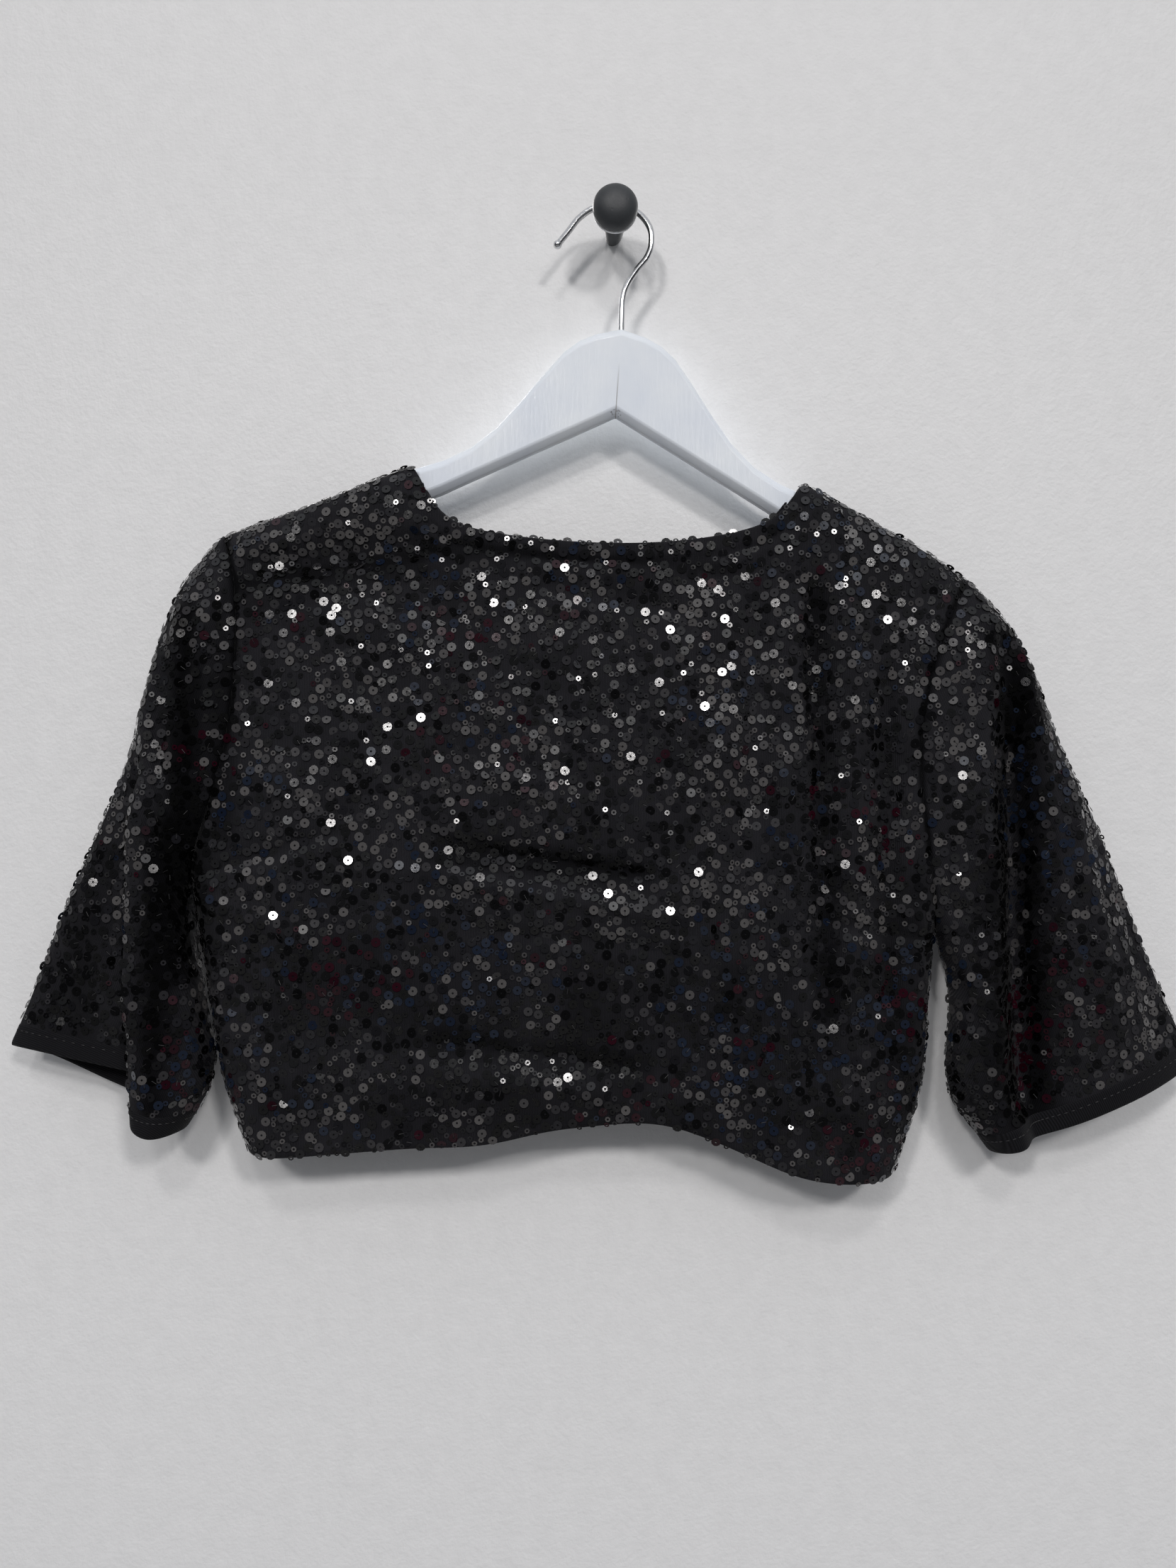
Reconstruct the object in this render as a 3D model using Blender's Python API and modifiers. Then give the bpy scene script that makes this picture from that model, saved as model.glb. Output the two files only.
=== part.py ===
"""Sequined bolero jacket with flared elbow sleeves, hung on a flat wooden hanger from a wall knob.

Metres, +Z up. +X runs to the right and +Y into the wall for someone who faces the wall, so the
jacket's back looks towards -Y. The origin is the centre of the knob's flat back, on the wall.
Every size and table below is in millimetres in that same frame.
"""
import math

import bmesh
import bpy
from mathutils import Vector

MM = 0.001

CLOTH = 1.6
BINDING = 2.2
NECK_BAND = 1.4
SEAM_GAP = 0.3
# A sheet's rim leans a little where two panels meet over a rounded edge, so they start this far
# on each side of the seam line to leave SEAM_GAP between their inner corners.
SEAM_HALF = 0.4
# A sleeve starts a little outside its armhole, further at the underarm and the shoulder tip,
# where the cloth turns, and these lengths of seam bring it back in.
ARMHOLE_GAP = 0.6
UNDERARM_ROOM = 2.4
UNDERARM_REACH = 34.0
TIP_ROOM = 1.2
TIP_REACH = 22.0

CREST_Y = -22.0
SIDE_Y = -26.0
SHOULDER_ROUND = 11.0
SIDE_ROUND = 16.0

# The back hangs free of the hanger, fuller below its top, with a shallow hollow down the middle
# and waves near the hem.
BACK_TOP_Y = -36.5
BACK_TOP_Z = -175.0
BACK_FULLNESS = 8.0
BACK_FULLNESS_LENGTH = 190.0
HOLLOW_DEPTH = 2.5
HOLLOW_X = -18.0
HOLLOW_HALF_WIDTH = 60.0
HEM_WAVE = 2.2
HEM_WAVE_PACE = 17.0
HEM_WAVE_TOP_Z = -400.0
HEM_WAVE_LENGTH = 100.0
FRONT_Y = -11.0
FOLD_END = 12.0
FOLD_FADE = 50.0

CUFF_WIDTH = 10.0
# The tucked hem of the left sleeve runs across its columns, so its binding starts further off.
LEFT_CUFF_GAP = 1.0
RIGHT_CUFF_GAP = 0.35
NECK_BAND_WIDTH = 9.0
BAND_STEP = 0.0005
# Towards its ends the neck band narrows to this share of its width, from this share of its
# length inwards.
BAND_END_SHARE = 0.45
BAND_NARROWING = 0.3

HANGER_THICKNESS = 12.0
HANGER_TILT = math.radians(4.0)
HANGER_TOP = Vector((3.7, CREST_Y, -58.4))
HOOK_WIRE = 3.6
HOOK_BALL = 4.4

# Shoulder seams, from the neck point to the sleeve.
LEFT_SHOULDER = [
    # x, z
    (-109.6, -133.2),
    (-140.0, -145.9),
    (-170.0, -157.4),
    (-208.4, -170.5),
]
RIGHT_SHOULDER = [
    # x, z
    (101.8, -142.8),
    (133.5, -161.2),
    (165.5, -178.8),
    (188.0, -194.0),
]

# Back neckline, left neck point to right neck point.
NECKLINE = [
    # x, y, z
    (-109.6, -22.4, -133.2),
    (-107.0, -30.2, -135.4),
    (-102.8, -35.2, -141.6),
    (-97.3, -36.2, -154.8),
    (-87.2, -36.4, -165.3),
    (-63.6, -36.5, -171.3),
    (-24.0, -36.5, -175.7),
    (15.7, -36.5, -176.5),
    (47.2, -36.5, -173.9),
    (73.5, -36.5, -168.4),
    (85.4, -36.4, -162.8),
    (92.8, -35.6, -153.0),
    (97.6, -30.8, -146.0),
    (101.8, -22.4, -142.8),
]

# Armholes, shoulder tip to underarm: the same line seen from behind, at the back's depth and
# at the front's.
LEFT_ARMHOLE = [
    # x, back y, front y, z
    (-208.4, -22.0, -22.0, -170.5),
    (-207.0, -28.5, -16.5, -172.8),
    (-204.0, -33.5, -13.5, -180.5),
    (-200.0, -37.0, -12.5, -200.0),
    (-199.0, -39.0, -12.0, -227.0),
    (-201.5, -40.0, -12.0, -264.0),
    (-207.0, -40.0, -12.0, -294.0),
    (-216.0, -38.5, -13.0, -322.0),
    (-222.5, -35.0, -17.0, -341.0),
    (-225.5, -26.0, -26.0, -352.0),
]
RIGHT_ARMHOLE = [
    # x, back y, front y, z
    (188.0, -22.0, -22.0, -194.0),
    (185.6, -28.5, -16.5, -196.8),
    (181.5, -33.5, -13.5, -205.0),
    (174.0, -37.0, -12.5, -220.0),
    (165.0, -39.0, -12.0, -247.0),
    (160.0, -40.0, -12.0, -275.0),
    (160.0, -40.0, -12.0, -305.0),
    (164.5, -39.0, -13.0, -334.0),
    (168.0, -36.0, -16.0, -366.0),
    (169.0, -26.0, -26.0, -382.0),
]

# Side seams, underarm to hem.
LEFT_SIDE = [
    # x, z
    (-225.5, -352.0),
    (-218.0, -394.0),
    (-210.5, -446.0),
    (-204.8, -468.0),
    (-194.5, -496.5),
]
RIGHT_SIDE = [
    # x, z
    (169.0, -382.0),
    (165.5, -420.0),
    (164.2, -451.0),
    (159.0, -476.0),
    (147.5, -508.5),
]

# Hem of the back, left side seam to right side seam.
BACK_HEM = [
    # x, z
    (-194.5, -496.5),
    (-173.0, -497.6),
    (-144.0, -495.7),
    (-105.0, -491.7),
    (-66.0, -490.9),
    (-37.0, -485.0),
    (-14.0, -481.4),
    (5.0, -479.2),
    (25.0, -480.0),
    (50.0, -488.7),
    (83.0, -503.0),
    (99.0, -508.2),
    (122.0, -510.6),
    (147.5, -508.5),
]

# Open edge of each front, neck point to the round bottom corner, and its hem from the side seam.
LEFT_FRONT_EDGE = [
    # x, y, z
    (-109.6, -21.6, -133.2),
    (-109.4, -15.6, -135.4),
    (-108.0, -12.2, -141.0),
    (-100.0, -11.5, -178.0),
    (-82.0, -11.0, -226.0),
    (-58.0, -10.5, -280.0),
    (-46.0, -10.5, -340.0),
    (-48.0, -10.5, -400.0),
    (-62.0, -11.0, -448.0),
]
RIGHT_FRONT_EDGE = [
    # x, y, z
    (101.8, -21.6, -142.8),
    (101.6, -15.6, -145.0),
    (100.4, -12.2, -151.0),
    (94.0, -11.5, -190.0),
    (76.0, -11.0, -238.0),
    (50.0, -10.5, -292.0),
    (34.0, -10.5, -352.0),
    (31.0, -10.5, -412.0),
    (40.0, -11.0, -458.0),
]
LEFT_FRONT_HEM = [
    # x, z
    (-194.5, -496.5),
    (-160.0, -490.0),
    (-120.0, -484.0),
    (-82.0, -470.0),
    (-62.0, -448.0),
]
RIGHT_FRONT_HEM = [
    # x, z
    (147.5, -508.5),
    (118.0, -500.0),
    (86.0, -492.0),
    (56.0, -478.0),
    (40.0, -458.0),
]

# Soft folds of the body. Each runs from one end to the other and stands out by its height,
# or sinks in where the height is negative.
BACK_FOLDS = [
    # x, z, x, z, half width, height
    (-103.0, -178.0, -192.0, -196.0, 13.0, -4.0),
    (-96.0, -212.0, -186.0, -226.0, 20.0, 3.0),
    (96.0, -184.0, 102.0, -330.0, 9.0, 4.0),
    (108.0, -200.0, 112.0, -400.0, 8.0, -4.5),
    (124.0, -210.0, 126.0, -420.0, 9.0, 3.5),
    (142.0, -250.0, 140.0, -440.0, 8.0, -4.0),
    (-92.0, -340.0, 16.0, -352.0, 12.0, -4.5),
    (-80.0, -366.0, 30.0, -380.0, 13.0, 4.0),
    (-90.0, -436.0, 8.0, -448.0, 12.0, -4.0),
    (-96.0, -462.0, 0.0, -470.0, 11.0, 3.0),
    (-170.0, -240.0, -150.0, -430.0, 16.0, 3.5),
    (52.0, -250.0, 60.0, -470.0, 15.0, 3.5),
    (82.0, -380.0, 88.0, -500.0, 10.0, -3.0),
    (-36.0, -400.0, -30.0, -490.0, 14.0, -3.0),
]
FRONT_FOLDS = [
    # x, z, x, z, half width, height
    (-150.0, -200.0, -140.0, -480.0, 16.0, 3.0),
    (-112.0, -230.0, -100.0, -470.0, 12.0, -2.5),
    (128.0, -210.0, 118.0, -480.0, 16.0, 3.0),
    (92.0, -250.0, 80.0, -470.0, 12.0, -2.5),
]

# Sleeve sections below the armhole, each a closed loop: its outer edge, its main fold and its
# inner edge, seen from behind. Tuck is how far the cloth runs on behind the fold's edge, and
# valley how deep the fold sinks in.
LEFT_SLEEVE = [
    # outer x, outer z, fold x, fold z, inner x, inner z, tuck, valley
    (-233.7, -198.8, -229.0, -262.0, -229.0, -364.0, 0.0, 0.0),
    (-248.4, -246.9, -244.0, -286.0, -227.0, -386.0, 0.0, 0.0),
    (-258.5, -285.0, -252.5, -309.0, -223.5, -404.0, 2.6, 0.0),
    (-276.5, -327.3, -256.0, -350.0, -219.0, -426.0, 9.0, 0.0),
    (-296.0, -371.0, -257.0, -398.0, -214.8, -447.0, 12.0, 0.0),
    (-313.0, -416.0, -255.0, -447.0, -217.5, -465.0, 14.0, 0.0),
    (-324.6, -443.5, -253.5, -482.6, -229.8, -486.0, 15.0, 0.0),
]
RIGHT_SLEEVE = [
    # outer x, outer z, fold x, fold z, inner x, inner z, tuck, valley
    (216.0, -224.5, 205.0, -268.0, 174.5, -394.0, 0.0, 4.0),
    (235.5, -275.5, 211.0, -312.0, 178.5, -408.0, 0.0, 8.0),
    (255.5, -318.0, 213.0, -354.0, 179.8, -428.0, 0.0, 11.0),
    (273.8, -365.4, 215.0, -398.0, 177.5, -450.0, 0.0, 12.0),
    (292.4, -411.5, 217.5, -440.0, 180.5, -471.0, 0.0, 12.0),
    (303.8, -437.5, 219.5, -470.0, 190.0, -484.0, 0.0, 11.0),
    (310.5, -452.5, 222.0, -491.0, 201.0, -499.0, 0.0, 10.0),
]

# One half of the hanger, from the hook outwards, measured down from the foot of the hook.
HANGER_HALF = [
    # reach, top, bottom
    (0.0, -0.8, -48.0),
    (13.0, -4.3, -55.0),
    (22.0, -8.6, -59.8),
    (30.0, -15.2, -64.0),
    (41.0, -29.2, -69.8),
    (51.0, -43.0, -75.2),
    (63.0, -58.0, -81.5),
    (76.0, -69.7, -88.4),
    (90.0, -77.6, -96.0),
    (108.0, -84.3, -104.4),
    (150.0, -105.0, -120.0),
    (178.0, -117.4, -131.2),
    (184.0, -121.6, -131.6),
]

# The hook's wire, from its foot in the hanger round over the knob's neck to its tip.
HOOK_LINE = [
    # x, z
    (3.7, -58.4),
    (4.1, -41.0),
    (10.2, -28.5),
    (17.0, -20.8),
    (19.9, -12.5),
    (18.6, -3.5),
    (11.6, 4.6),
    (0.0, 8.2),
    (-11.0, 6.6),
    (-19.2, 1.2),
    (-25.0, -6.0),
    (-31.2, -13.6),
]

# The knob's outline, from the middle of its head to the wall.
KNOB_OUTLINE = [
    # radius, distance from the wall
    (0.0, 44.6),
    (5.0, 44.2),
    (9.2, 42.4),
    (11.6, 39.6),
    (12.3, 36.2),
    (11.6, 33.4),
    (9.0, 31.4),
    (6.8, 29.6),
    (6.0, 26.6),
    (6.0, 16.0),
    (5.2, 10.0),
    (4.6, 0.0),
    (0.0, 0.0),
]


class SmoothCurve:
    """A rounded curve through the given points, followed by its share of the whole length."""

    def __init__(self, points):
        self.points = [Vector(point) for point in points]
        self.places = [0.0]
        for before, after in zip(self.points, self.points[1:]):
            self.places.append(self.places[-1] + (after - before).length)
        self.length = self.places[-1]
        last = len(self.points) - 1
        self.slopes = []
        for index in range(last + 1):
            low = max(index - 1, 0)
            high = min(index + 1, last)
            span = self.places[high] - self.places[low]
            self.slopes.append((self.points[high] - self.points[low]) / span)

    def at(self, share):
        place = share * self.length
        index = 0
        while index < len(self.points) - 2 and place > self.places[index + 1]:
            index += 1
        span = self.places[index + 1] - self.places[index]
        t = (place - self.places[index]) / span
        start, end = self.points[index], self.points[index + 1]
        leave, arrive = self.slopes[index] * span, self.slopes[index + 1] * span
        return (
            start * (2 * t**3 - 3 * t**2 + 1)
            + leave * (t**3 - 2 * t**2 + t)
            + end * (3 * t**2 - 2 * t**3)
            + arrive * (t**3 - t**2)
        )


def in_plane(rows):
    """A seam line of x, z rows as a curve with no depth yet."""
    return SmoothCurve([(x, 0.0, z) for x, z in rows])


def smooth_step(value):
    value = min(max(value, 0.0), 1.0)
    return value * value * (3 - 2 * value)


def rounding(distance, radius):
    """Height of a quarter circle at this distance from its foot, as a share of its radius."""
    flat = 1 - min(max(distance / radius, 0.0), 1.0)
    return math.sqrt(1 - flat * flat)


def pull_to_edge(depth, edge_depth, distance, radius):
    """How far the cloth leaves its own depth to meet its edge, by a round turn where it is far."""
    reach = edge_depth - depth
    turn = min(abs(reach) / radius, 1.0)
    near = turn * (1 - rounding(distance, radius))
    near += (1 - turn) * (1 - smooth_step(distance / (2 * radius)))
    return reach * near


def fold_relief(folds, x, z):
    """How far the folds lift the cloth at this place."""
    relief = 0.0
    for start_x, start_z, end_x, end_z, half_width, height in folds:
        along_x, along_z = end_x - start_x, end_z - start_z
        length = math.hypot(along_x, along_z)
        run = ((x - start_x) * along_x + (z - start_z) * along_z) / length
        aside = ((x - start_x) * along_z - (z - start_z) * along_x) / length
        ends = smooth_step((run + FOLD_END) / FOLD_FADE)
        ends *= smooth_step((length + FOLD_END - run) / FOLD_FADE)
        relief += height * ends * math.exp(-((aside / half_width) ** 2))
    return relief


def back_depth(x, z):
    """Depth of the hanging back, away from its edges: fuller lower down, with a waving hem."""
    fullness = smooth_step((BACK_TOP_Z - z) / BACK_FULLNESS_LENGTH)
    hollow = HOLLOW_DEPTH * math.exp(-(((x - HOLLOW_X) / HOLLOW_HALF_WIDTH) ** 2))
    near_hem = smooth_step((HEM_WAVE_TOP_Z - z) / HEM_WAVE_LENGTH)
    waves = HEM_WAVE * math.sin((x - HOLLOW_X) / HEM_WAVE_PACE) * near_hem
    relief = fold_relief(BACK_FOLDS, x, z)
    return BACK_TOP_Y - (BACK_FULLNESS - hollow) * fullness - waves - relief


def front_depth(x, z):
    """Depth of the fronts, between the hanger and the wall."""
    return FRONT_Y + fold_relief(FRONT_FOLDS, x, z)


def armhole_curve(rows, depth_column, shift):
    """An armhole seam at one depth. Both its ends are moved by shift, off the meeting seams."""
    points = []
    for index, row in enumerate(rows):
        at_end = index in (0, len(rows) - 1)
        points.append((row[0], row[depth_column] + (shift if at_end else 0.0), row[3]))
    return SmoothCurve(points)


def joined_side(armhole, side, depth, rows_above):
    """Armhole above and side seam below as one edge of a panel, split at the underarm."""
    def edge(share):
        if share <= rows_above:
            return armhole.at(share / rows_above)
        point = side.at((share - rows_above) / (1 - rows_above))
        return Vector((point.x, depth, point.z))
    return edge


def coons(top, bottom, left, right, u, v):
    """A point of the patch between four edges."""
    corners = (
        top(0.0) * (1 - u) * (1 - v)
        + top(1.0) * u * (1 - v)
        + bottom(0.0) * (1 - u) * v
        + bottom(1.0) * u * v
    )
    return top(u) * (1 - v) + bottom(u) * v + left(v) * (1 - u) + right(v) * u - corners


UNDERARM_SHARE = 0.56
ARMHOLE_SHARES = [
    0.0, 0.005, 0.016, 0.034, 0.06, 0.095, 0.14, 0.185, 0.23, 0.28, 0.33, 0.38, 0.43, 0.475,
    0.51, 0.54, UNDERARM_SHARE,
]
NECK_ROW_SHARES = [0.0, 0.022, 0.04, 0.058, 0.08, 0.107]
ROW_SHARES = ARMHOLE_SHARES + [0.58, 0.62, 0.67, 0.72, 0.77, 0.82, 0.87, 0.92, 0.965, 1.0]
SHOULDER_SHARES = [0.0, 0.02, 0.065, 0.14, 0.24, 0.38, 0.54, 0.7, 0.85, 1.0]
NECK_SHARES = [
    0.0, 0.04, 0.085, 0.14, 0.2, 0.27, 0.34, 0.41, 0.48, 0.55, 0.62, 0.69, 0.76, 0.82,
    0.87, 0.92, 0.962, 1.0,
]
FRONT_SHARES = [0.0, 0.014, 0.045, 0.1, 0.2, 0.32, 0.46, 0.6, 0.74, 0.88, 1.0]
LEFT_NECK_POINT = 0.25
RIGHT_NECK_POINT = 0.78


class BackPanel:
    """The back as a patch: shares run left to right and from the shoulders down to the hem."""

    def __init__(self):
        self.left_shoulder = in_plane(LEFT_SHOULDER[::-1])
        self.right_shoulder = in_plane(RIGHT_SHOULDER)
        self.neckline = SmoothCurve(NECKLINE)
        hem = in_plane(BACK_HEM)
        self.hem = hem.at
        self.left = joined_side(
            armhole_curve(LEFT_ARMHOLE, 1, -SEAM_HALF), in_plane(LEFT_SIDE),
            SIDE_Y - SEAM_HALF, UNDERARM_SHARE)
        self.right = joined_side(
            armhole_curve(RIGHT_ARMHOLE, 1, -SEAM_HALF), in_plane(RIGHT_SIDE),
            SIDE_Y - SEAM_HALF, UNDERARM_SHARE)

    def top(self, share):
        if share < LEFT_NECK_POINT:
            point = self.left_shoulder.at(share / LEFT_NECK_POINT)
        elif share > RIGHT_NECK_POINT:
            point = self.right_shoulder.at((share - RIGHT_NECK_POINT) / (1 - RIGHT_NECK_POINT))
        else:
            along = (share - LEFT_NECK_POINT) / (RIGHT_NECK_POINT - LEFT_NECK_POINT)
            return self.neckline.at(along)
        return Vector((point.x, CREST_Y - SEAM_HALF, point.z))

    def at(self, u, v):
        point = coons(self.top, self.hem, self.left, self.right, u, v)
        top, left, right = self.top(u), self.left(v), self.right(v)
        y = back_depth(point.x, point.z)
        y += pull_to_edge(y, top.y, top.z - point.z, SHOULDER_ROUND)
        y += pull_to_edge(y, left.y, point.x - left.x, SIDE_ROUND)
        y += pull_to_edge(y, right.y, right.x - point.x, SIDE_ROUND)
        return Vector((point.x, y, point.z))


class FrontPanel:
    """One front as a patch: shares run from the armhole to the open edge, and down."""

    def __init__(self, shoulder, armhole_rows, side_rows, edge_rows, hem_rows):
        self.shoulder = in_plane(shoulder[::-1])
        self.hem = in_plane(hem_rows).at
        self.edge = SmoothCurve(edge_rows).at
        self.outer = joined_side(
            armhole_curve(armhole_rows, 2, SEAM_HALF), in_plane(side_rows),
            SIDE_Y + SEAM_HALF, UNDERARM_SHARE)

    def top(self, share):
        point = self.shoulder.at(share)
        return Vector((point.x, CREST_Y + SEAM_HALF, point.z))

    def at(self, u, v):
        point = coons(self.top, self.hem, self.outer, self.edge, u, v)
        top, outer, edge = self.top(u), self.outer(v), self.edge(v)
        y = front_depth(point.x, point.z)
        y += pull_to_edge(y, top.y, top.z - point.z, SHOULDER_ROUND)
        y += pull_to_edge(y, outer.y, abs(point.x - outer.x), SIDE_ROUND)
        y += pull_to_edge(y, edge.y, abs(point.x - edge.x), SIDE_ROUND)
        return Vector((point.x, y, point.z))


# Depths of a sleeve: its edges, its face towards the room and its face towards the wall, then
# the three layers of a tucked fold.
SLEEVE_EDGE_Y = -24.0
SLEEVE_ROOM_Y = -41.0
SLEEVE_WALL_Y = -13.0
TUCK_BACK_Y = -31.5
TUCK_MIDDLE_Y = -38.5
TUCK_FRONT_Y = -45.5
TUCK_TURN = 4.0

ROOM_KEYS = [
    # line: 0 from outer edge to fold, 1 from fold to inner edge; share of it; fullness; valley
    (0, 0.30, 0.80, 0.0),
    (0, 0.55, 0.97, 0.0),
    (0, 0.75, 1.00, 0.1),
    (0, 0.90, 1.00, 0.6),
    (1, 0.00, 1.00, 1.0),
    (1, 0.14, 1.00, 0.6),
    (1, 0.32, 1.05, 0.0),
    (1, 0.58, 1.00, -0.2),
    (1, 0.86, 0.75, 0.0),
]
WALL_SHARES = (0.85, 0.5, 0.15)
# Grid columns from each key point to the next, as many on each side as the armhole has rows.
ROOM_STEPS = (2, 2, 1, 1, 1, 1, 1, 2, 2, 3)
WALL_STEPS = (4, 4, 4, 4)


def between(start, end, share):
    return start + (end - start) * share


def room_keys(outer, fold, inner, tuck, valley):
    """Key points over the side of a sleeve section that faces the room."""
    flat = []
    for line, share, fullness, sinking in ROOM_KEYS:
        point = between(outer, fold, share) if line == 0 else between(fold, inner, share)
        point.y = SLEEVE_EDGE_Y + (SLEEVE_ROOM_Y - SLEEVE_EDGE_Y) * fullness + valley * sinking
        flat.append(point)
    if not tuck:
        return flat
    rise = 1.4 * tuck
    turn = min(TUCK_TURN, tuck / 2)
    middle = between(fold, inner, 0.5)
    late = between(fold, inner, 0.86)
    wing = between(outer, Vector((fold.x, 0.0, fold.z + rise + 6.0)), 0.5)
    tucked = [
        Vector((wing.x, TUCK_BACK_Y + 1.0, wing.z)),
        Vector((fold.x + tuck - turn, TUCK_BACK_Y, fold.z + rise + 2.0)),
        Vector((fold.x + tuck, (TUCK_BACK_Y + TUCK_MIDDLE_Y) / 2, fold.z + rise)),
        Vector((fold.x + tuck - turn, TUCK_MIDDLE_Y, fold.z + rise - 3.0)),
        Vector((fold.x + turn, TUCK_MIDDLE_Y - 0.3, fold.z + turn)),
        Vector((fold.x, (TUCK_MIDDLE_Y + TUCK_FRONT_Y) / 2, fold.z)),
        Vector((fold.x + turn, TUCK_FRONT_Y, fold.z - 3.0)),
        Vector((middle.x, TUCK_FRONT_Y - 0.5, middle.z - 4.0)),
        Vector((late.x, SLEEVE_ROOM_Y + 3.0, late.z - 2.0)),
    ]
    share = smooth_step(tuck / 3.0)
    return [between(before, after, share) for before, after in zip(flat, tucked)]


def section_points(row):
    """One closed sleeve section, from its outer edge over the room side and back by the wall."""
    outer_x, outer_z, fold_x, fold_z, inner_x, inner_z, tuck, valley = row
    outer = Vector((outer_x, SLEEVE_EDGE_Y, outer_z))
    fold = Vector((fold_x, SLEEVE_ROOM_Y, fold_z))
    inner = Vector((inner_x, SLEEVE_EDGE_Y, inner_z))
    room = [outer] + room_keys(outer, fold, inner, tuck, valley) + [inner]
    wall = []
    for share in WALL_SHARES:
        point = between(outer, inner, share)
        point.y = SLEEVE_WALL_Y
        wall.append(point)
    keys = room + wall
    loop = SmoothCurve([keys[-1]] + keys + [keys[0], keys[1]])
    points = []
    for index, steps in enumerate(ROOM_STEPS + WALL_STEPS):
        start, end = loop.places[index + 1], loop.places[index + 2]
        for step in range(steps):
            points.append(loop.at((start + (end - start) * step / steps) / loop.length))
    return points


def armhole_points(armhole_rows, outward):
    """The sleeve's first section: the armhole, a seam gap outside the body's panels."""
    back = armhole_curve(armhole_rows, 1, 0.0)
    front = armhole_curve(armhole_rows, 2, 0.0)
    shares = [share / UNDERARM_SHARE for share in ARMHOLE_SHARES]
    points = [back.at(share) for share in shares[:-1]]
    points += [front.at(share) for share in shares[:0:-1]]
    highest, lowest = armhole_rows[0][3], armhole_rows[-1][3]
    for point in points:
        under = 1 - smooth_step((point.z - lowest) / UNDERARM_REACH)
        tip = 1 - smooth_step((highest - point.z) / TIP_REACH)
        point.x += outward * (ARMHOLE_GAP + UNDERARM_ROOM * under + TIP_ROOM * tip)
    return points


def sleeve_columns(armhole_rows, sections, outward):
    """Lines down the sleeve, one through each point of its sections."""
    loops = [armhole_points(armhole_rows, outward)]
    loops += [section_points(row) for row in sections]
    return [SmoothCurve(points) for points in zip(*loops)]


SLEEVE_ROWS = 15


def sleeve_grid(columns, gap):
    """The sleeve's cloth, down to the binding at its hem."""
    rows = []
    for row in range(SLEEVE_ROWS + 1):
        share = row / SLEEVE_ROWS
        end = [1 - (CUFF_WIDTH + gap) / column.length for column in columns]
        rows.append([column.at(share * stop) for column, stop in zip(columns, end)])
    return rows


def cuff_grid(columns):
    """The binding that holds the sleeve's hem."""
    rows = []
    for above in (CUFF_WIDTH, CUFF_WIDTH / 2, 0.0):
        rows.append([column.at(1 - above / column.length) for column in columns])
    return rows


def panel_grid(panel, shares_across):
    return [[panel.at(u, v) for u in shares_across] for v in ROW_SHARES]


def back_grid(panel):
    """The back's grid, whose first rows lie further apart below the neckline."""
    rows = []
    for index, shoulder_share in enumerate(ROW_SHARES):
        row = []
        for u in back_shares():
            inside = min(u - LEFT_NECK_POINT, RIGHT_NECK_POINT - u)
            v = shoulder_share
            if index < len(NECK_ROW_SHARES):
                v += (NECK_ROW_SHARES[index] - v) * smooth_step((inside + 0.03) / 0.06)
            row.append(panel.at(u, v))
        rows.append(row)
    return rows


def back_shares():
    shares = [share * LEFT_NECK_POINT for share in SHOULDER_SHARES]
    neck = RIGHT_NECK_POINT - LEFT_NECK_POINT
    shares += [LEFT_NECK_POINT + share * neck for share in NECK_SHARES[1:]]
    shares += [1 - share * (1 - RIGHT_NECK_POINT) for share in SHOULDER_SHARES[-2::-1]]
    return shares


def share_below_edge(panel, u, distance):
    """How far down the panel lies the point at that distance from its top edge."""
    edge = panel.at(u, 0.0)
    v = 0.0
    while (panel.at(u, v) - edge).length < distance:
        v += BAND_STEP
    return v


def neck_band_grid(panel):
    """The band round the back neckline, made from the back's own points, moved out."""
    apart = CLOTH / 2 + 2 * SEAM_GAP + NECK_BAND / 2
    neck = RIGHT_NECK_POINT - LEFT_NECK_POINT
    rows = []
    for width in (0.0, NECK_BAND_WIDTH / 2, NECK_BAND_WIDTH):
        row = []
        for share in NECK_SHARES[2:-2]:
            u = LEFT_NECK_POINT + share * neck
            along = panel.at(u + 0.003, 0.0) - panel.at(u - 0.003, 0.0)
            steepness = math.hypot(along.x, along.z) / abs(along.x)
            narrowing = smooth_step(min(share, 1 - share) / BAND_NARROWING)
            narrowed = width * (BAND_END_SHARE + (1 - BAND_END_SHARE) * narrowing)
            v = share_below_edge(panel, u, narrowed * steepness)
            across = panel.at(u + 0.003, v) - panel.at(u - 0.003, v)
            down = panel.at(u, v + 0.008) - panel.at(u, v)
            row.append(panel.at(u, v) + across.cross(down).normalized() * apart)
        rows.append(row)
    return rows


def new_material(name, color, roughness, metallic=0.0):
    material = bpy.data.materials.new(name)
    material.use_nodes = True
    shader = material.node_tree.nodes["Principled BSDF"]
    shader.inputs["Base Color"].default_value = (*color, 1.0)
    shader.inputs["Roughness"].default_value = roughness
    shader.inputs["Metallic"].default_value = metallic
    return material


def new_object(name, mesh_or_curve, material, collection):
    mesh_or_curve.materials.append(material)
    made = bpy.data.objects.new(name, mesh_or_curve)
    collection.objects.link(made)
    return made


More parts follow.
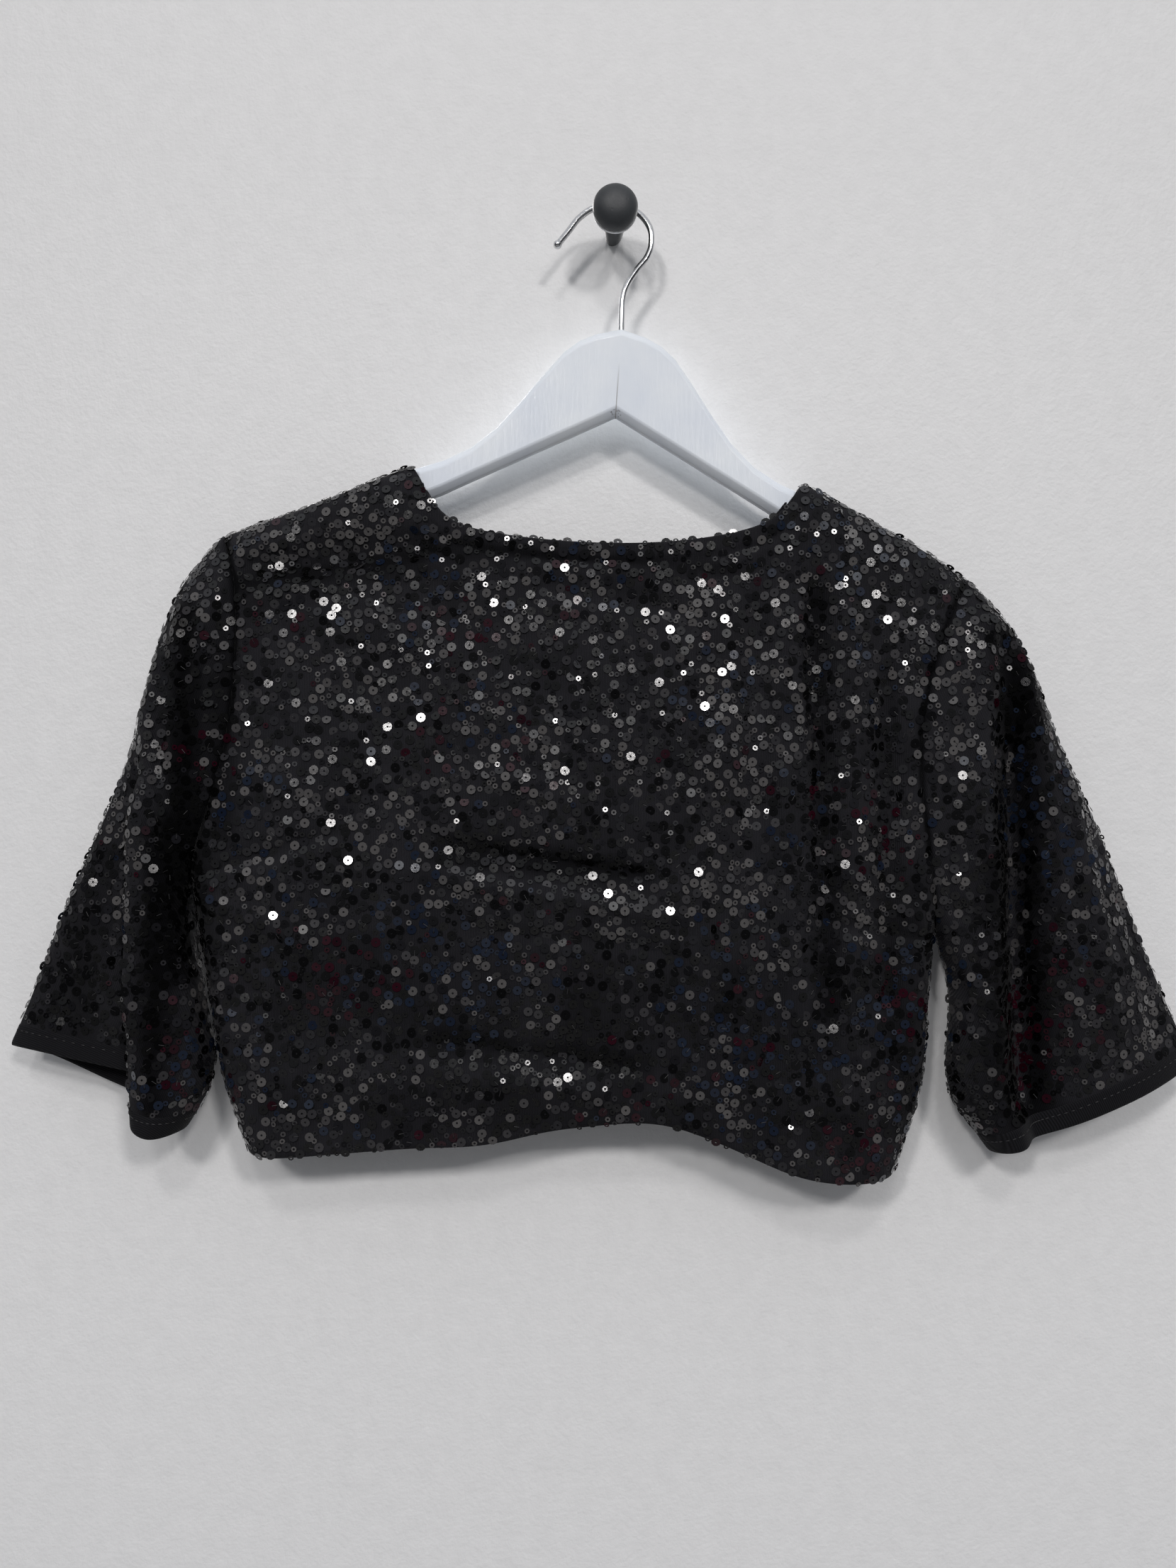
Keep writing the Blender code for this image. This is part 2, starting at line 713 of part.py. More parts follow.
def grid_object(name, rows, closed, thickness, material, collection):
    """A sheet of cloth from rows of points in millimetres, given its thickness by Solidify."""
    made = bmesh.new()
    verts = [[made.verts.new(point * MM) for point in row] for row in rows]
    count = len(rows[0])
    for upper, lower in zip(verts, verts[1:]):
        for column in range(count if closed else count - 1):
            after = (column + 1) % count
            made.faces.new((upper[column], lower[column], lower[after], upper[after]))
    bmesh.ops.recalc_face_normals(made, faces=made.faces)
    mesh = bpy.data.meshes.new(name)
    made.to_mesh(mesh)
    made.free()
    sheet = new_object(name, mesh, material, collection)
    wall = sheet.modifiers.new("Cloth thickness", "SOLIDIFY")
    wall.thickness = thickness * MM
    wall.offset = 0.0
    return sheet


def build_hanger(material, collection):
    """A flat wooden hanger: stations along its arms, each a block with chamfered edges."""
    chamfer = 4.0
    half = HANGER_THICKNESS / 2
    stations = [(-reach, top, bottom) for reach, top, bottom in HANGER_HALF[:0:-1]]
    stations += HANGER_HALF
    made = bmesh.new()
    rings = []
    for reach, top, bottom in stations:
        section = [
            (-half, top - chamfer), (-half + chamfer, top),
            (half - chamfer, top), (half, top - chamfer),
            (half, bottom + chamfer), (half - chamfer, bottom),
            (-half + chamfer, bottom), (-half, bottom + chamfer),
        ]
        rings.append([made.verts.new(Vector((reach, y, z)) * MM) for y, z in section])
    for before, after in zip(rings, rings[1:]):
        for index in range(len(before)):
            nearby = (index + 1) % len(before)
            made.faces.new((before[index], before[nearby], after[nearby], after[index]))
    made.faces.new(rings[0])
    made.faces.new(rings[-1])
    bmesh.ops.recalc_face_normals(made, faces=made.faces)
    mesh = bpy.data.meshes.new("hanger")
    made.to_mesh(mesh)
    made.free()
    hanger = new_object("hanger", mesh, material, collection)
    hanger.location = HANGER_TOP * MM
    hanger.rotation_euler = (0.0, HANGER_TILT, 0.0)
    return hanger


def build_hook(material, collection):
    """The hanger's wire hook, with a small round end."""
    line = SmoothCurve([(x, CREST_Y, z) for x, z in HOOK_LINE])
    steps = 44
    ball = HOOK_BALL / 2
    curve = bpy.data.curves.new("hook", "CURVE")
    curve.dimensions = "3D"
    curve.bevel_depth = HOOK_WIRE / 2 * MM
    curve.bevel_resolution = 2
    curve.use_fill_caps = True
    places = [line.length * step / steps for step in range(steps - 2)]
    places += [line.length - ball * (1 - math.cos(math.radians(turn))) for turn in (100, 60, 25)]
    spline = curve.splines.new("POLY")
    spline.points.add(len(places) - 1)
    for point, place in zip(spline.points, places):
        point.co = (*(line.at(place / line.length) * MM), 1.0)
        past_middle = place - (line.length - ball)
        if abs(past_middle) < ball:
            point.radius = max(1.0 if past_middle < 0 else 0.0,
                               math.sqrt(ball**2 - past_middle**2) / (HOOK_WIRE / 2))
    return new_object("hook", curve, material, collection)


def build_knob(material, collection):
    """The turned wall knob: half its outline, spun round by a Screw modifier."""
    mesh = bpy.data.meshes.new("wall_knob")
    points = [(radius * MM, 0.0, height * MM) for radius, height in KNOB_OUTLINE]
    edges = [(index, index + 1) for index in range(len(points) - 1)]
    mesh.from_pydata(points, edges, [])
    knob = new_object("wall_knob", mesh, material, collection)
    turned = knob.modifiers.new("Turned", "SCREW")
    turned.steps = 28
    turned.render_steps = 28
    turned.use_merge_vertices = True
    turned.merge_threshold = 0.00001
    knob.rotation_euler = (math.radians(90.0), 0.0, 0.0)
    return knob


def main():
    for old in list(bpy.data.objects):
        bpy.data.objects.remove(old, do_unlink=True)
    collection = bpy.data.collections.new("bolero_jacket")
    bpy.context.scene.collection.children.link(collection)

    cloth_color = (0.022, 0.022, 0.024)
    back = BackPanel()
    left_front = FrontPanel(
        LEFT_SHOULDER, LEFT_ARMHOLE, LEFT_SIDE, LEFT_FRONT_EDGE, LEFT_FRONT_HEM)
    right_front = FrontPanel(
        RIGHT_SHOULDER, RIGHT_ARMHOLE, RIGHT_SIDE, RIGHT_FRONT_EDGE, RIGHT_FRONT_HEM)
    left_columns = sleeve_columns(LEFT_ARMHOLE, LEFT_SLEEVE, -1)
    right_columns = sleeve_columns(RIGHT_ARMHOLE, RIGHT_SLEEVE, 1)

    sheets = [
        # name, rows, closed, thickness
        ("back", back_grid(back), False, CLOTH),
        ("front_left", panel_grid(left_front, FRONT_SHARES), False, CLOTH),
        ("front_right", panel_grid(right_front, FRONT_SHARES), False, CLOTH),
        ("sleeve_left", sleeve_grid(left_columns, LEFT_CUFF_GAP), True, CLOTH),
        ("sleeve_right", sleeve_grid(right_columns, RIGHT_CUFF_GAP), True, CLOTH),
        ("cuff_left", cuff_grid(left_columns), True, BINDING),
        ("cuff_right", cuff_grid(right_columns), True, BINDING),
        ("neck_band", neck_band_grid(back), False, NECK_BAND),
    ]
    for name, rows, closed, thickness in sheets:
        material = new_material(name + " cloth", cloth_color, 0.75)
        grid_object(name, rows, closed, thickness, material, collection)

    build_hanger(new_material("hanger paint", (0.86, 0.85, 0.83), 0.3), collection)
    build_hook(new_material("hook chrome", (0.75, 0.75, 0.76), 0.15, 1.0), collection)
    build_knob(new_material("knob paint", (0.05, 0.05, 0.055), 0.5), collection)


main()
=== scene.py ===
"""A bolero jacket in sequined knit, hung back outwards on a painted wooden hanger.

Each cloth panel of the frame is copied, smoothed and creased, and the sequins are sewn
over what is then its outer wall. Sizes are in metres, and the tables of lines and strokes in
millimetres.
"""

import math

import bmesh
import bpy
import numpy as np
from mathutils import Euler, Matrix, Vector, noise
from mathutils.bvhtree import BVHTree
from mathutils.kdtree import KDTree


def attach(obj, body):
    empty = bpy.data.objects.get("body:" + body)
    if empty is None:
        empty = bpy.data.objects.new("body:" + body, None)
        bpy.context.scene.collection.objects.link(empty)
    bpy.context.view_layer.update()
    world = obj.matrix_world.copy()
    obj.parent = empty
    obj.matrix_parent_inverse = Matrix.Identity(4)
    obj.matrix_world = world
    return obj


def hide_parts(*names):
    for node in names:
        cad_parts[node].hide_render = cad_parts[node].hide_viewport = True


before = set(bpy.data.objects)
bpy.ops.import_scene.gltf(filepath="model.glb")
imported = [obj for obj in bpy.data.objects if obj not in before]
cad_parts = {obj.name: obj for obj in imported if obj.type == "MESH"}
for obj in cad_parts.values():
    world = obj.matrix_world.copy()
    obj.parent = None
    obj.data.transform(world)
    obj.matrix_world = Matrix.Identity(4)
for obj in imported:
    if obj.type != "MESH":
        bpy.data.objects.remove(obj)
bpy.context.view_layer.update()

MM = 0.001
MERGE = 0.02 * MM
# A panel's faces have the first material outside and the second one elsewhere.
OUTER, INNER = 0, 1
RIM_TURN = math.radians(50)
RIM_CREASE = 0.75
SEAM_CLOSE = 0.35 * MM
CUFF_OVERLAP = 2.2 * MM
SMOOTHING_LEVELS = 2

# Sequins: flat rings of black film.
FIRST_SEED = 11
LARGE_RADIUS = 2.5 * MM
LARGE_HOLE = 0.55 * MM
LARGE_SIDES = 10
LARGE_PER_M2 = 21000
LARGE_APART = 4.5 * MM
SMALL_RADIUS = 1.5 * MM
SMALL_HOLE = 0.62 * MM
SMALL_SIDES = 7
SMALL_PER_M2 = 24500
SMALL_APART = 2.5 * MM
MIXED_APART = 3.1 * MM
FILM = 0.16 * MM
RING_MIDDLE = 0.72
SEQUIN_LIFT = (0.25 * MM, 0.95 * MM)
SEQUIN_TILT = math.radians(5.5)
BAND_CLEARANCE = -0.3 * MM
SEAM_CLEARANCE = 1.5 * MM
LOOSE_SHARE = 0.08
LOOSE_TILT = 3
MOST_TILT = 0.5
TRIES = 5
THREAD = 0.11 * MM
THREAD_LENGTH = 1.12 * LARGE_RADIUS
THREADED_SHARE = 0.4
BAND_CROWDING = 1.5

# Places on the film's ramp of colours: black to grey, then maroon, then navy. The grey is a
# painted reflection of the room, and the maroon and navy are painted reflections of red and
# blue things in it.
FILM_MEAN = 0.43
FILM_SPREAD = 0.27
FILM_PATCHES = 0.60
FILM_GREY = 0.84
MAROON_REFLECTION = (0.89, 0.935)
NAVY_REFLECTION = (0.96, 1.0)
# How close the patches of painted grey, maroon and navy reflection lie, and how many sequins
# carry the maroon and navy painted reflections.
PATCH_WAVES = 26
MAROON_WAVES = 17
NAVY_WAVES = 15
FEWEST_MAROON = 0.006
MAROON_GAIN = 0.75
MAROON_FROM = 0.02
FEWEST_NAVY = 0.01
NAVY_GAIN = 0.55
NAVY_FROM = 0.04
# The maroon painted reflection grows from this height downwards, over this distance.
MAROON_TOP = -0.15
MAROON_DROP = 0.3

STITCH_LENGTH = 2.3 * MM
STITCH_PITCH = 3.2 * MM
STITCH_RADIUS = 0.24 * MM
CUFF_STITCH_INSET = -1.8 * MM
CUFF_STITCH_RISE = 0.5 * MM
NECK_STITCH_INSET = 1.4 * MM
NECK_STITCH_RISE = 0.15 * MM
# How far up a cuff's upper faces and the neck band's lower border look.
CUFF_UPWARD = 0.45
BAND_UPWARD = 0.5

HANGER_TILT = math.radians(4.0)
HANGER_TOP = Vector((3.7 * MM, -22 * MM, -58.4 * MM))
HANGER_TURNED_TOP = Matrix.Rotation(-HANGER_TILT, 3, "Y") @ HANGER_TOP
HANGER_BEVEL = 0.9 * MM
FLAT_FACE = 0.999
COLLAR_RADIUS = 10.6 * MM
COLLAR_WIRE = 1.0 * MM
COLLAR_Y = -31.4 * MM
COLLAR_SIDES = 10
COLLAR_STEPS = 48

# The hook's line in millimetres, from inside the hanger to its tip.
HOOK_LINE = [
    (3.5, -62.0), (3.7, -52.0), (4.2, -42.5), (6.4, -35.0), (11.6, -27.0), (17.2, -20.0),
    (19.6, -12.8), (18.6, -3.5), (11.6, 4.6), (0.0, 8.2), (-11.0, 6.6), (-19.2, 1.2),
    (-25.0, -6.0), (-30.8, -13.1),
]
HOOK_Y = -22 * MM
WIRE_RADIUS = 1.7 * MM
BALL_RADIUS = 2.3 * MM
WIRE_SIDES = 14
WIRE_STEPS = 8

# Creases in millimetres: x and z of both ends, half width and height. A ridge has a
# positive height and a trough a negative one.
BACK_CREASES = [
    (105, -204, 110, -420, 10, -2.6),
    (103, -200, 105, -326, 3, -1.2),
    (122, -214, 124, -410, 8, 1.6),
    (141, -250, 143, -420, 9, -2.4),
    (146, -320, 140, -352, 5, -1.3),
    (76, -190, 72, -320, 10, -1.5),
    (60, -210, 56, -380, 9, 1.2),
    (88, -300, 94, -470, 7, 1.4),
    (40, -260, 44, -440, 9, -1.2),
    (-104, -177, -198, -190, 11, -3.0),
    (-100, -190, -190, -206, 6, 1.2),
    (-90, -334, 10, -350, 6, -1.8),
    (-84, -352, 20, -372, 7, 1.6),
    (-74, -378, 14, -388, 5, -1.4),
    (-88, -437, 6, -452, 5, -1.8),
    (-96, -452, -6, -466, 6, 1.2),
    (-60, -300, -10, -318, 8, 1.0),
    (-212, -350, -150, -330, 6, -1.4),
    (-208, -366, -158, -384, 6, 1.3),
    (-200, -400, -160, -440, 7, -1.2),
    (158, -384, 112, -376, 5, -1.6),
    (156, -372, 118, -350, 5, 1.3),
    (152, -398, 126, -430, 6, -1.2),
    (-150, -220, -132, -300, 10, 1.2),
    (-30, -200, 30, -212, 9, -1.0),
    (-170, -300, -166, -470, 9, 1.1),
]
FRONT_LEFT_CREASES = [
    (-120, -160, -96, -260, 8, -1.8),
    (-150, -176, -130, -320, 8, 1.6),
    (-176, -190, -168, -330, 7, -1.5),
    (-210, -352, -140, -340, 6, -1.6),
    (-196, -380, -120, -400, 8, 1.4),
    (-90, -300, -64, -420, 8, -1.3),
    (-160, -400, -110, -470, 8, 1.2),
]
FRONT_RIGHT_CREASES = [
    (112, -170, 84, -270, 8, -1.8),
    (136, -190, 110, -330, 8, 1.6),
    (158, -220, 146, -340, 7, -1.5),
    (154, -380, 100, -364, 6, -1.6),
    (150, -410, 90, -420, 8, 1.4),
    (74, -310, 54, -430, 8, -1.3),
    (120, -420, 96, -480, 8, 1.2),
]
LEFT_SLEEVE_CREASES = [
    (-236, -210, -240, -330, 6, -1.6),
    (-250, -270, -226, -350, 6, 1.2),
    (-282, -350, -262, -440, 7, 1.2),
    (-300, -392, -286, -452, 6, -1.3),
    (-262, -372, -244, -470, 5, 1.3),
    (-230, -370, -250, -392, 5, -1.2),
    (-214, -214, -222, -270, 6, 1.1),
]
RIGHT_SLEEVE_CREASES = [
    (206, -232, 214, -480, 15, -3.4),
    (211, -260, 216, -470, 6, -1.4),
    (198, -222, 191, -330, 9, 1.8),
    (240, -300, 262, -440, 8, 1.3),
    (226, -330, 238, -470, 6, -1.3),
    (180, -370, 208, -384, 5, -1.6),
    (176, -350, 200, -336, 5, 1.4),
    (184, -400, 204, -440, 6, 1.3),
    (270, -370, 288, -440, 7, -1.2),
]
SLEEVE_BACK_CREASES = [
    (-246, -280, -236, -380, 7, 1.4),
    (-276, -350, -262, -440, 7, -1.4),
    (222, -280, 216, -400, 7, 1.4),
    (252, -350, 244, -450, 7, -1.4),
]
# Where the cloth lies in the shade of its own folds: both ends, half width and darkness.
# Negative ones are fold tops that catch the light.
SHADES = [
    (212, -225, 219, -480, 26, 1.0),
    (196, -300, 200, -470, 18, 0.5),
    (-225, -215, -224, -400, 20, 1.0),
    (-236, -330, -240, -470, 16, 0.9),
    (-270, -340, -292, -430, 26, 0.5),
    (-104, -184, -196, -198, 13, 0.9),
    (-206, -210, -204, -330, 10, 0.6),
    (106, -204, 111, -420, 11, 0.7),
    (142, -250, 143, -440, 10, 0.55),
    (156, -330, 150, -480, 12, 0.5),
    (-92, -338, 14, -350, 12, 0.7),
    (-90, -436, 8, -449, 11, 0.5),
    (-170, -400, -60, -420, 40, 0.3),
    (-20, -420, 110, -440, 45, 0.3),
    (-180, -470, 130, -480, 24, 0.3),
    (60, -300, 60, -420, 14, 0.4),
    (-96, -178, 60, -190, 7, 0.6),
    (196, -262, 193, -335, 12, -0.5),
    (233, -279, 275, -440, 30, -0.4),
    (134, -250, 156, -350, 18, -0.4),
    (58, -240, 60, -390, 20, -0.3),
]
SHADED_KNIT = 0.20
SHADED_FILM = 0.40
SHADED_GLOSS = 0.15
KNIT_TONES = (0.0054, 0.0098, 0.0165)
KNIT_GLOSS = 0.12
FILM_GLOSS = 0.5
STROKE_SWAY = 1.2 * MM
STROKE_TURNS = 5.1
END_FADE = 14 * MM
EDGE_FADE = 12 * MM
UNEVEN = 0.55 * MM
WAVES_PER_METRE = 42
CREASE_GAIN = 1.9
# Where the cloth's room side and wall side begin, and how softly.
ROOM_SIDE = -25.5 * MM
WALL_SIDE = -22 * MM
SIDE_BLEND = 5 * MM

# The back neckline, one neck point to the other, in millimetres.
NECK_GROOVE = [
    (-98, -166), (-88, -176), (-63.6, -181.5), (-24, -186), (15.7, -186.8),
    (47.2, -184.3), (73.5, -178.8), (86, -172), (94, -162),
]
GROOVE_DEPTH = 1.8 * MM
GROOVE_HALF_WIDTH = 3.6 * MM
# The armhole seams as they show from the room.
ARMHOLE_SEAMS = [
    [(-208, -170), (-204, -180), (-200, -200), (-199, -227), (-201, -264), (-207, -294),
     (-216, -322), (-223, -341)],
    [(188, -194), (181, -205), (174, -220), (165, -247), (160, -275), (160, -305),
     (164, -334), (168, -366)],
]
SEAM_DEPTH = 0.9 * MM
SEAM_HALF_WIDTH = 3 * MM
LONGEST_SEAM_STEP = 10 * MM
SEAM_SAMPLES = 6

# The room.
CENTRE = (0, -0.02, -0.28)
WARM = (1.0, 0.97, 0.96)
WHITE = (1.0, 1.0, 1.0)
# Name, place, width and height, power in watts and colour.
LIGHTS = [
    ("key_left", (-1.2, -3.4, 1.5), (0.4, 0.4), 34, WARM),
    ("key_middle", (-0.1, -2.9, 2.3), (0.34, 0.34), 15, WARM),
    ("key_right", (1.2, -3.2, 1.5), (0.4, 0.4), 31, WARM),
    ("glint_left", (-0.45, -1.6, 0.45), (0.07, 0.07), 1.3, WARM),
    ("glint_right", (0.55, -1.5, 0.35), (0.07, 0.07), 1.1, WARM),
    ("gloss_left", (-0.17, -2.03, 0.60), (0.24, 0.20), 0.4, WHITE),
    ("gloss_right", (0.32, -2.0, 0.52), (0.16, 0.26), 0.35, WHITE),
    ("behind_left", (-0.9, 1.9, 0.9), (0.5, 0.5), 30, WARM),
    ("behind_right", (1.1, 1.7, 0.5), (0.8, 0.8), 14, WHITE),
]
WALL_REACH = 3.0
WALL_MIDDLE = 0.6
WALL_Y = 0.0002
FLOOR_REACH = 4.0
FLOOR_HEIGHT = -1.25
CAMERA_PLACE = (-0.0144, -0.656, -0.3034)
SENSOR_MM = 24
PHOTO_HEIGHT_PIXELS = 2212
FOCAL_PIXELS = 1661.6


def smooth_step(value):
    value = np.clip(value, 0, 1)
    return value * value * (3 - 2 * value)


# Materials.

def new_material(name):
    material = bpy.data.materials.new(name)
    material.use_nodes = True
    nodes = material.node_tree.nodes
    return material, nodes, material.node_tree.links, nodes["Principled BSDF"]


def object_coordinates(nodes, links, turn=(0, 0, 0), scale=(1, 1, 1), place=(0, 0, 0)):
    coordinates = nodes.new("ShaderNodeTexCoord")
    mapping = nodes.new("ShaderNodeMapping")
    mapping.inputs["Location"].default_value = place
    mapping.inputs["Rotation"].default_value = turn
    mapping.inputs["Scale"].default_value = scale
    links.new(coordinates.outputs["Object"], mapping.inputs["Vector"])
    return mapping.outputs["Vector"]


def noise_texture(nodes, links, vector, scale, detail=3.0, rough=0.55):
    texture = nodes.new("ShaderNodeTexNoise")
    texture.inputs["Scale"].default_value = scale
    texture.inputs["Detail"].default_value = detail
    texture.inputs["Roughness"].default_value = rough
    links.new(vector, texture.inputs["Vector"])
    return texture.outputs["Fac"]


def color_ramp(nodes, links, factor, stops):
    ramp = nodes.new("ShaderNodeValToRGB")
    elements = ramp.color_ramp.elements
    while len(elements) < len(stops):
        elements.new(0.5)
    for element, (place, color) in zip(elements, stops):
        element.position = place
        element.color = (*color, 1)
    links.new(factor, ramp.inputs["Fac"])
    return ramp.outputs["Color"]


def map_range(nodes, links, value, low, high, start=0.0, end=1.0):
    node = nodes.new("ShaderNodeMapRange")
    node.inputs["From Min"].default_value = start
    node.inputs["From Max"].default_value = end
    node.inputs["To Min"].default_value = low
    node.inputs["To Max"].default_value = high
    links.new(value, node.inputs["Value"])
    return node.outputs["Result"]


def two_tone(nodes, links, factor, low, high):
    return color_ramp(nodes, links, factor, [(0.3, low), (0.7, high)])


def roughen(nodes, links, shader, texture, low, high):
    links.new(map_range(nodes, links, texture, low, high), shader.inputs["Roughness"])


def attribute_value(nodes, name):
    attribute = nodes.new("ShaderNodeAttribute")
    attribute.attribute_name = name
    return attribute.outputs["Fac"]


def worked_out(nodes, links, operation, *inputs):
    """A math node's result. Each input is another node's output or a number."""
    node = nodes.new("ShaderNodeMath")
    node.operation = operation
    for socket, value in zip(node.inputs, inputs):
        if isinstance(value, (int, float)):
            socket.default_value = value
        else:
            links.new(value, socket)
    return node.outputs["Value"]


def scaled_color(nodes, links, color, factor):
    scaled = nodes.new("ShaderNodeVectorMath")
    scaled.operation = "SCALE"
    links.new(color, scaled.inputs["Vector"])
    links.new(factor, scaled.inputs["Scale"])
    return scaled.outputs["Vector"]


def mixed_color(nodes, links, factor, first, second):
    """The first colour at 0 and the second at 1. The first may be a plain colour."""
    mix = nodes.new("ShaderNodeMix")
    mix.data_type = "RGBA"
    links.new(factor, mix.inputs["Factor"])
    if isinstance(first, tuple):
        mix.inputs["A"].default_value = (*first, 1)
    else:
        links.new(first, mix.inputs["A"])
    links.new(second, mix.inputs["B"])
    return mix.outputs["Result"]


def add_bump(nodes, links, shader, height, strength, distance, under=None):
    bump = nodes.new("ShaderNodeBump")
    bump.inputs["Strength"].default_value = strength
    bump.inputs["Distance"].default_value = distance
    links.new(height, bump.inputs["Height"])
    if under is not None:
        links.new(under, bump.inputs["Normal"])
    links.new(bump.outputs["Normal"], shader.inputs["Normal"])
    return bump.outputs["Normal"]


def wave_texture(nodes, links, vector, scale, distortion, direction="X"):
    wave = nodes.new("ShaderNodeTexWave")
    wave.bands_direction = direction
    wave.inputs["Scale"].default_value = scale
    wave.inputs["Distortion"].default_value = distortion
    wave.inputs["Detail"].default_value = 2.0
    wave.inputs["Detail Scale"].default_value = 1.5
    links.new(vector, wave.inputs["Vector"])
    return wave.outputs["Fac"]


def knit_material(name, turn, dark=1.0):
    """Charcoal knit with fine ribs down the piece."""
    material, nodes, links, shader = new_material(name)
    vector = object_coordinates(nodes, links, turn=(0, math.radians(turn), 0))
    ribs = wave_texture(nodes, links, vector, 370, 2.2)
    loops = noise_texture(nodes, links, vector, 1400, 2.0)
    cloudy = noise_texture(nodes, links, vector, 38, 4.0)
    low, middle, high = (dark * tone for tone in KNIT_TONES)
    mix = worked_out(nodes, links, "MULTIPLY_ADD", ribs, 0.45, cloudy)
    color = color_ramp(nodes, links, mix, [
        (0.3, (low, low, low * 1.25)),
        (0.7, (middle, middle * 0.99, middle * 1.22)),
        (1.0, (high, high * 0.99, high * 1.18)),
    ])
    shade = attribute_value(nodes, "shade")
    shaded = map_range(nodes, links, shade, 1.0, SHADED_KNIT)
    gloss = map_range(nodes, links, shade, KNIT_GLOSS, KNIT_GLOSS * SHADED_GLOSS)
    links.new(scaled_color(nodes, links, color, shaded), shader.inputs["Base Color"])
    roughen(nodes, links, shader, cloudy, 0.78, 0.95)
    links.new(gloss, shader.inputs["Specular IOR Level"])
    shader.inputs["Sheen Weight"].default_value = 0.04
    shader.inputs["Sheen Roughness"].default_value = 0.5
    under = add_bump(nodes, links, shader, ribs, 0.55, 0.00025)
    add_bump(nodes, links, shader, loops, 0.5, 0.0002, under)
    return material


def twill_material(name, turn):
    """Black twill tape: fine slanting ribs."""
    material, nodes, links, shader = new_material(name)
    vector = object_coordinates(nodes, links, turn=(0, math.radians(turn), 0))
    ribs = wave_texture(nodes, links, vector, 420, 0.8, "DIAGONAL")
    weft = wave_texture(nodes, links, vector, 760, 1.0, "Z")
    cloudy = noise_texture(nodes, links, vector, 90, 3.0)
    color = color_ramp(nodes, links, ribs, [
        (0.15, (0.003, 0.003, 0.004)),
        (0.85, (0.009, 0.009, 0.011)),
    ])
    links.new(color, shader.inputs["Base Color"])
    roughen(nodes, links, shader, cloudy, 0.7, 0.92)
    shader.inputs["Specular IOR Level"].default_value = 0.12
    shader.inputs["Sheen Weight"].default_value = 0.04
    under = add_bump(nodes, links, shader, ribs, 0.7, 0.0003)
    add_bump(nodes, links, shader, weft, 0.35, 0.00015, under)
    return material


def film_material(name):
    """Glossy film. Each ring carries its own place on the ramp in its film attribute. The
    ramp's grey is a painted reflection of the room, its maroon and navy are painted
    reflections of red and blue things in it, and the shade attribute dims the gloss in the
    folds' painted shade.
    """
    material, nodes, links, shader = new_material(name)
    color = color_ramp(nodes, links, attribute_value(nodes, "film"), [
        (0.0, (0.001, 0.001, 0.001)),
        (0.28, (0.002, 0.002, 0.002)),
        (0.46, (0.009, 0.009, 0.011)),
        (0.64, (0.029, 0.028, 0.030)),
        # Painted reflections: the grey of the room, then maroon and navy of red and blue
        # things.
        (FILM_GREY, (0.074, 0.071, 0.070)),
        (0.885, (0.021, 0.002, 0.006)),
        (0.94, (0.009, 0.001, 0.003)),
        (0.955, (0.004, 0.007, 0.017)),
        (1.0, (0.010, 0.015, 0.027)),
    ])
    links.new(color, shader.inputs["Base Color"])
    vector = object_coordinates(nodes, links)
    wear = noise_texture(nodes, links, vector, 620, 3.0)
    roughen(nodes, links, shader, wear, 0.05, 0.20)
    shader.inputs["IOR"].default_value = 1.52
    shade = attribute_value(nodes, "shade")
    gloss = map_range(nodes, links, shade, FILM_GLOSS, FILM_GLOSS * SHADED_GLOSS)
    links.new(gloss, shader.inputs["Specular IOR Level"])
    add_bump(nodes, links, shader, wear, 0.06, 0.0002)
    return material


def thread_material(name, color):
    material, nodes, links, shader = new_material(name)
    vector = object_coordinates(nodes, links)
    twist = noise_texture(nodes, links, vector, 2600, 2.0)
    dark = tuple(0.5 * value for value in color)
    links.new(two_tone(nodes, links, twist, dark, color), shader.inputs["Base Color"])
    roughen(nodes, links, shader, twist, 0.45, 0.75)
    add_bump(nodes, links, shader, twist, 0.4, 0.0001)
    return material


def paint_material(name):
    """White gloss paint brushed along the wood, with its centre joint and a chip."""
    material, nodes, links, shader = new_material(name)
    vector = object_coordinates(
        nodes, links, turn=(0, -HANGER_TILT, 0), place=tuple(-c for c in HANGER_TURNED_TOP))
    brushed = object_coordinates(
        nodes, links, turn=(0, -HANGER_TILT - math.radians(24), 0), scale=(560, 70, 70))
    brush = noise_texture(nodes, links, brushed, 1.0, 5.0)
    broad = noise_texture(nodes, links, vector, 26, 4.0)
    parts = nodes.new("ShaderNodeSeparateXYZ")
    links.new(vector, parts.inputs["Vector"])
    aside = worked_out(nodes, links, "ABSOLUTE", parts.outputs["X"])
    fading = map_range(nodes, links, parts.outputs["Z"], 0, 1, -0.036, -0.020)
    off_joint = map_range(nodes, links, aside, 0, 1, 0.00012, 0.00036)
    joint = worked_out(nodes, links, "MAXIMUM", off_joint, fading)
    chip = nodes.new("ShaderNodeVectorMath")
    chip.operation = "DISTANCE"
    chip.inputs[1].default_value = (0.0, -0.0052, -0.0482)
    links.new(vector, chip.inputs[0])
    torn = noise_texture(nodes, links, vector, 700, 2.0)
    ragged = worked_out(nodes, links, "MULTIPLY_ADD", torn, 0.006, chip.outputs["Value"])
    off_chip = map_range(nodes, links, ragged, 0, 1, 0.0046, 0.0054)
    paint = two_tone(nodes, links, broad, (0.70, 0.75, 0.82), (0.80, 0.84, 0.875))
    jointed = mixed_color(nodes, links, joint, (0.44, 0.44, 0.45), paint)
    chipped = mixed_color(nodes, links, off_chip, (0.05, 0.028, 0.024), jointed)
    links.new(chipped, shader.inputs["Base Color"])
    roughen(nodes, links, shader, brush, 0.08, 0.30)
    under = add_bump(nodes, links, shader, brush, 0.35, 0.0004)
    add_bump(nodes, links, shader, joint, 0.6, 0.0003, under)
    return material


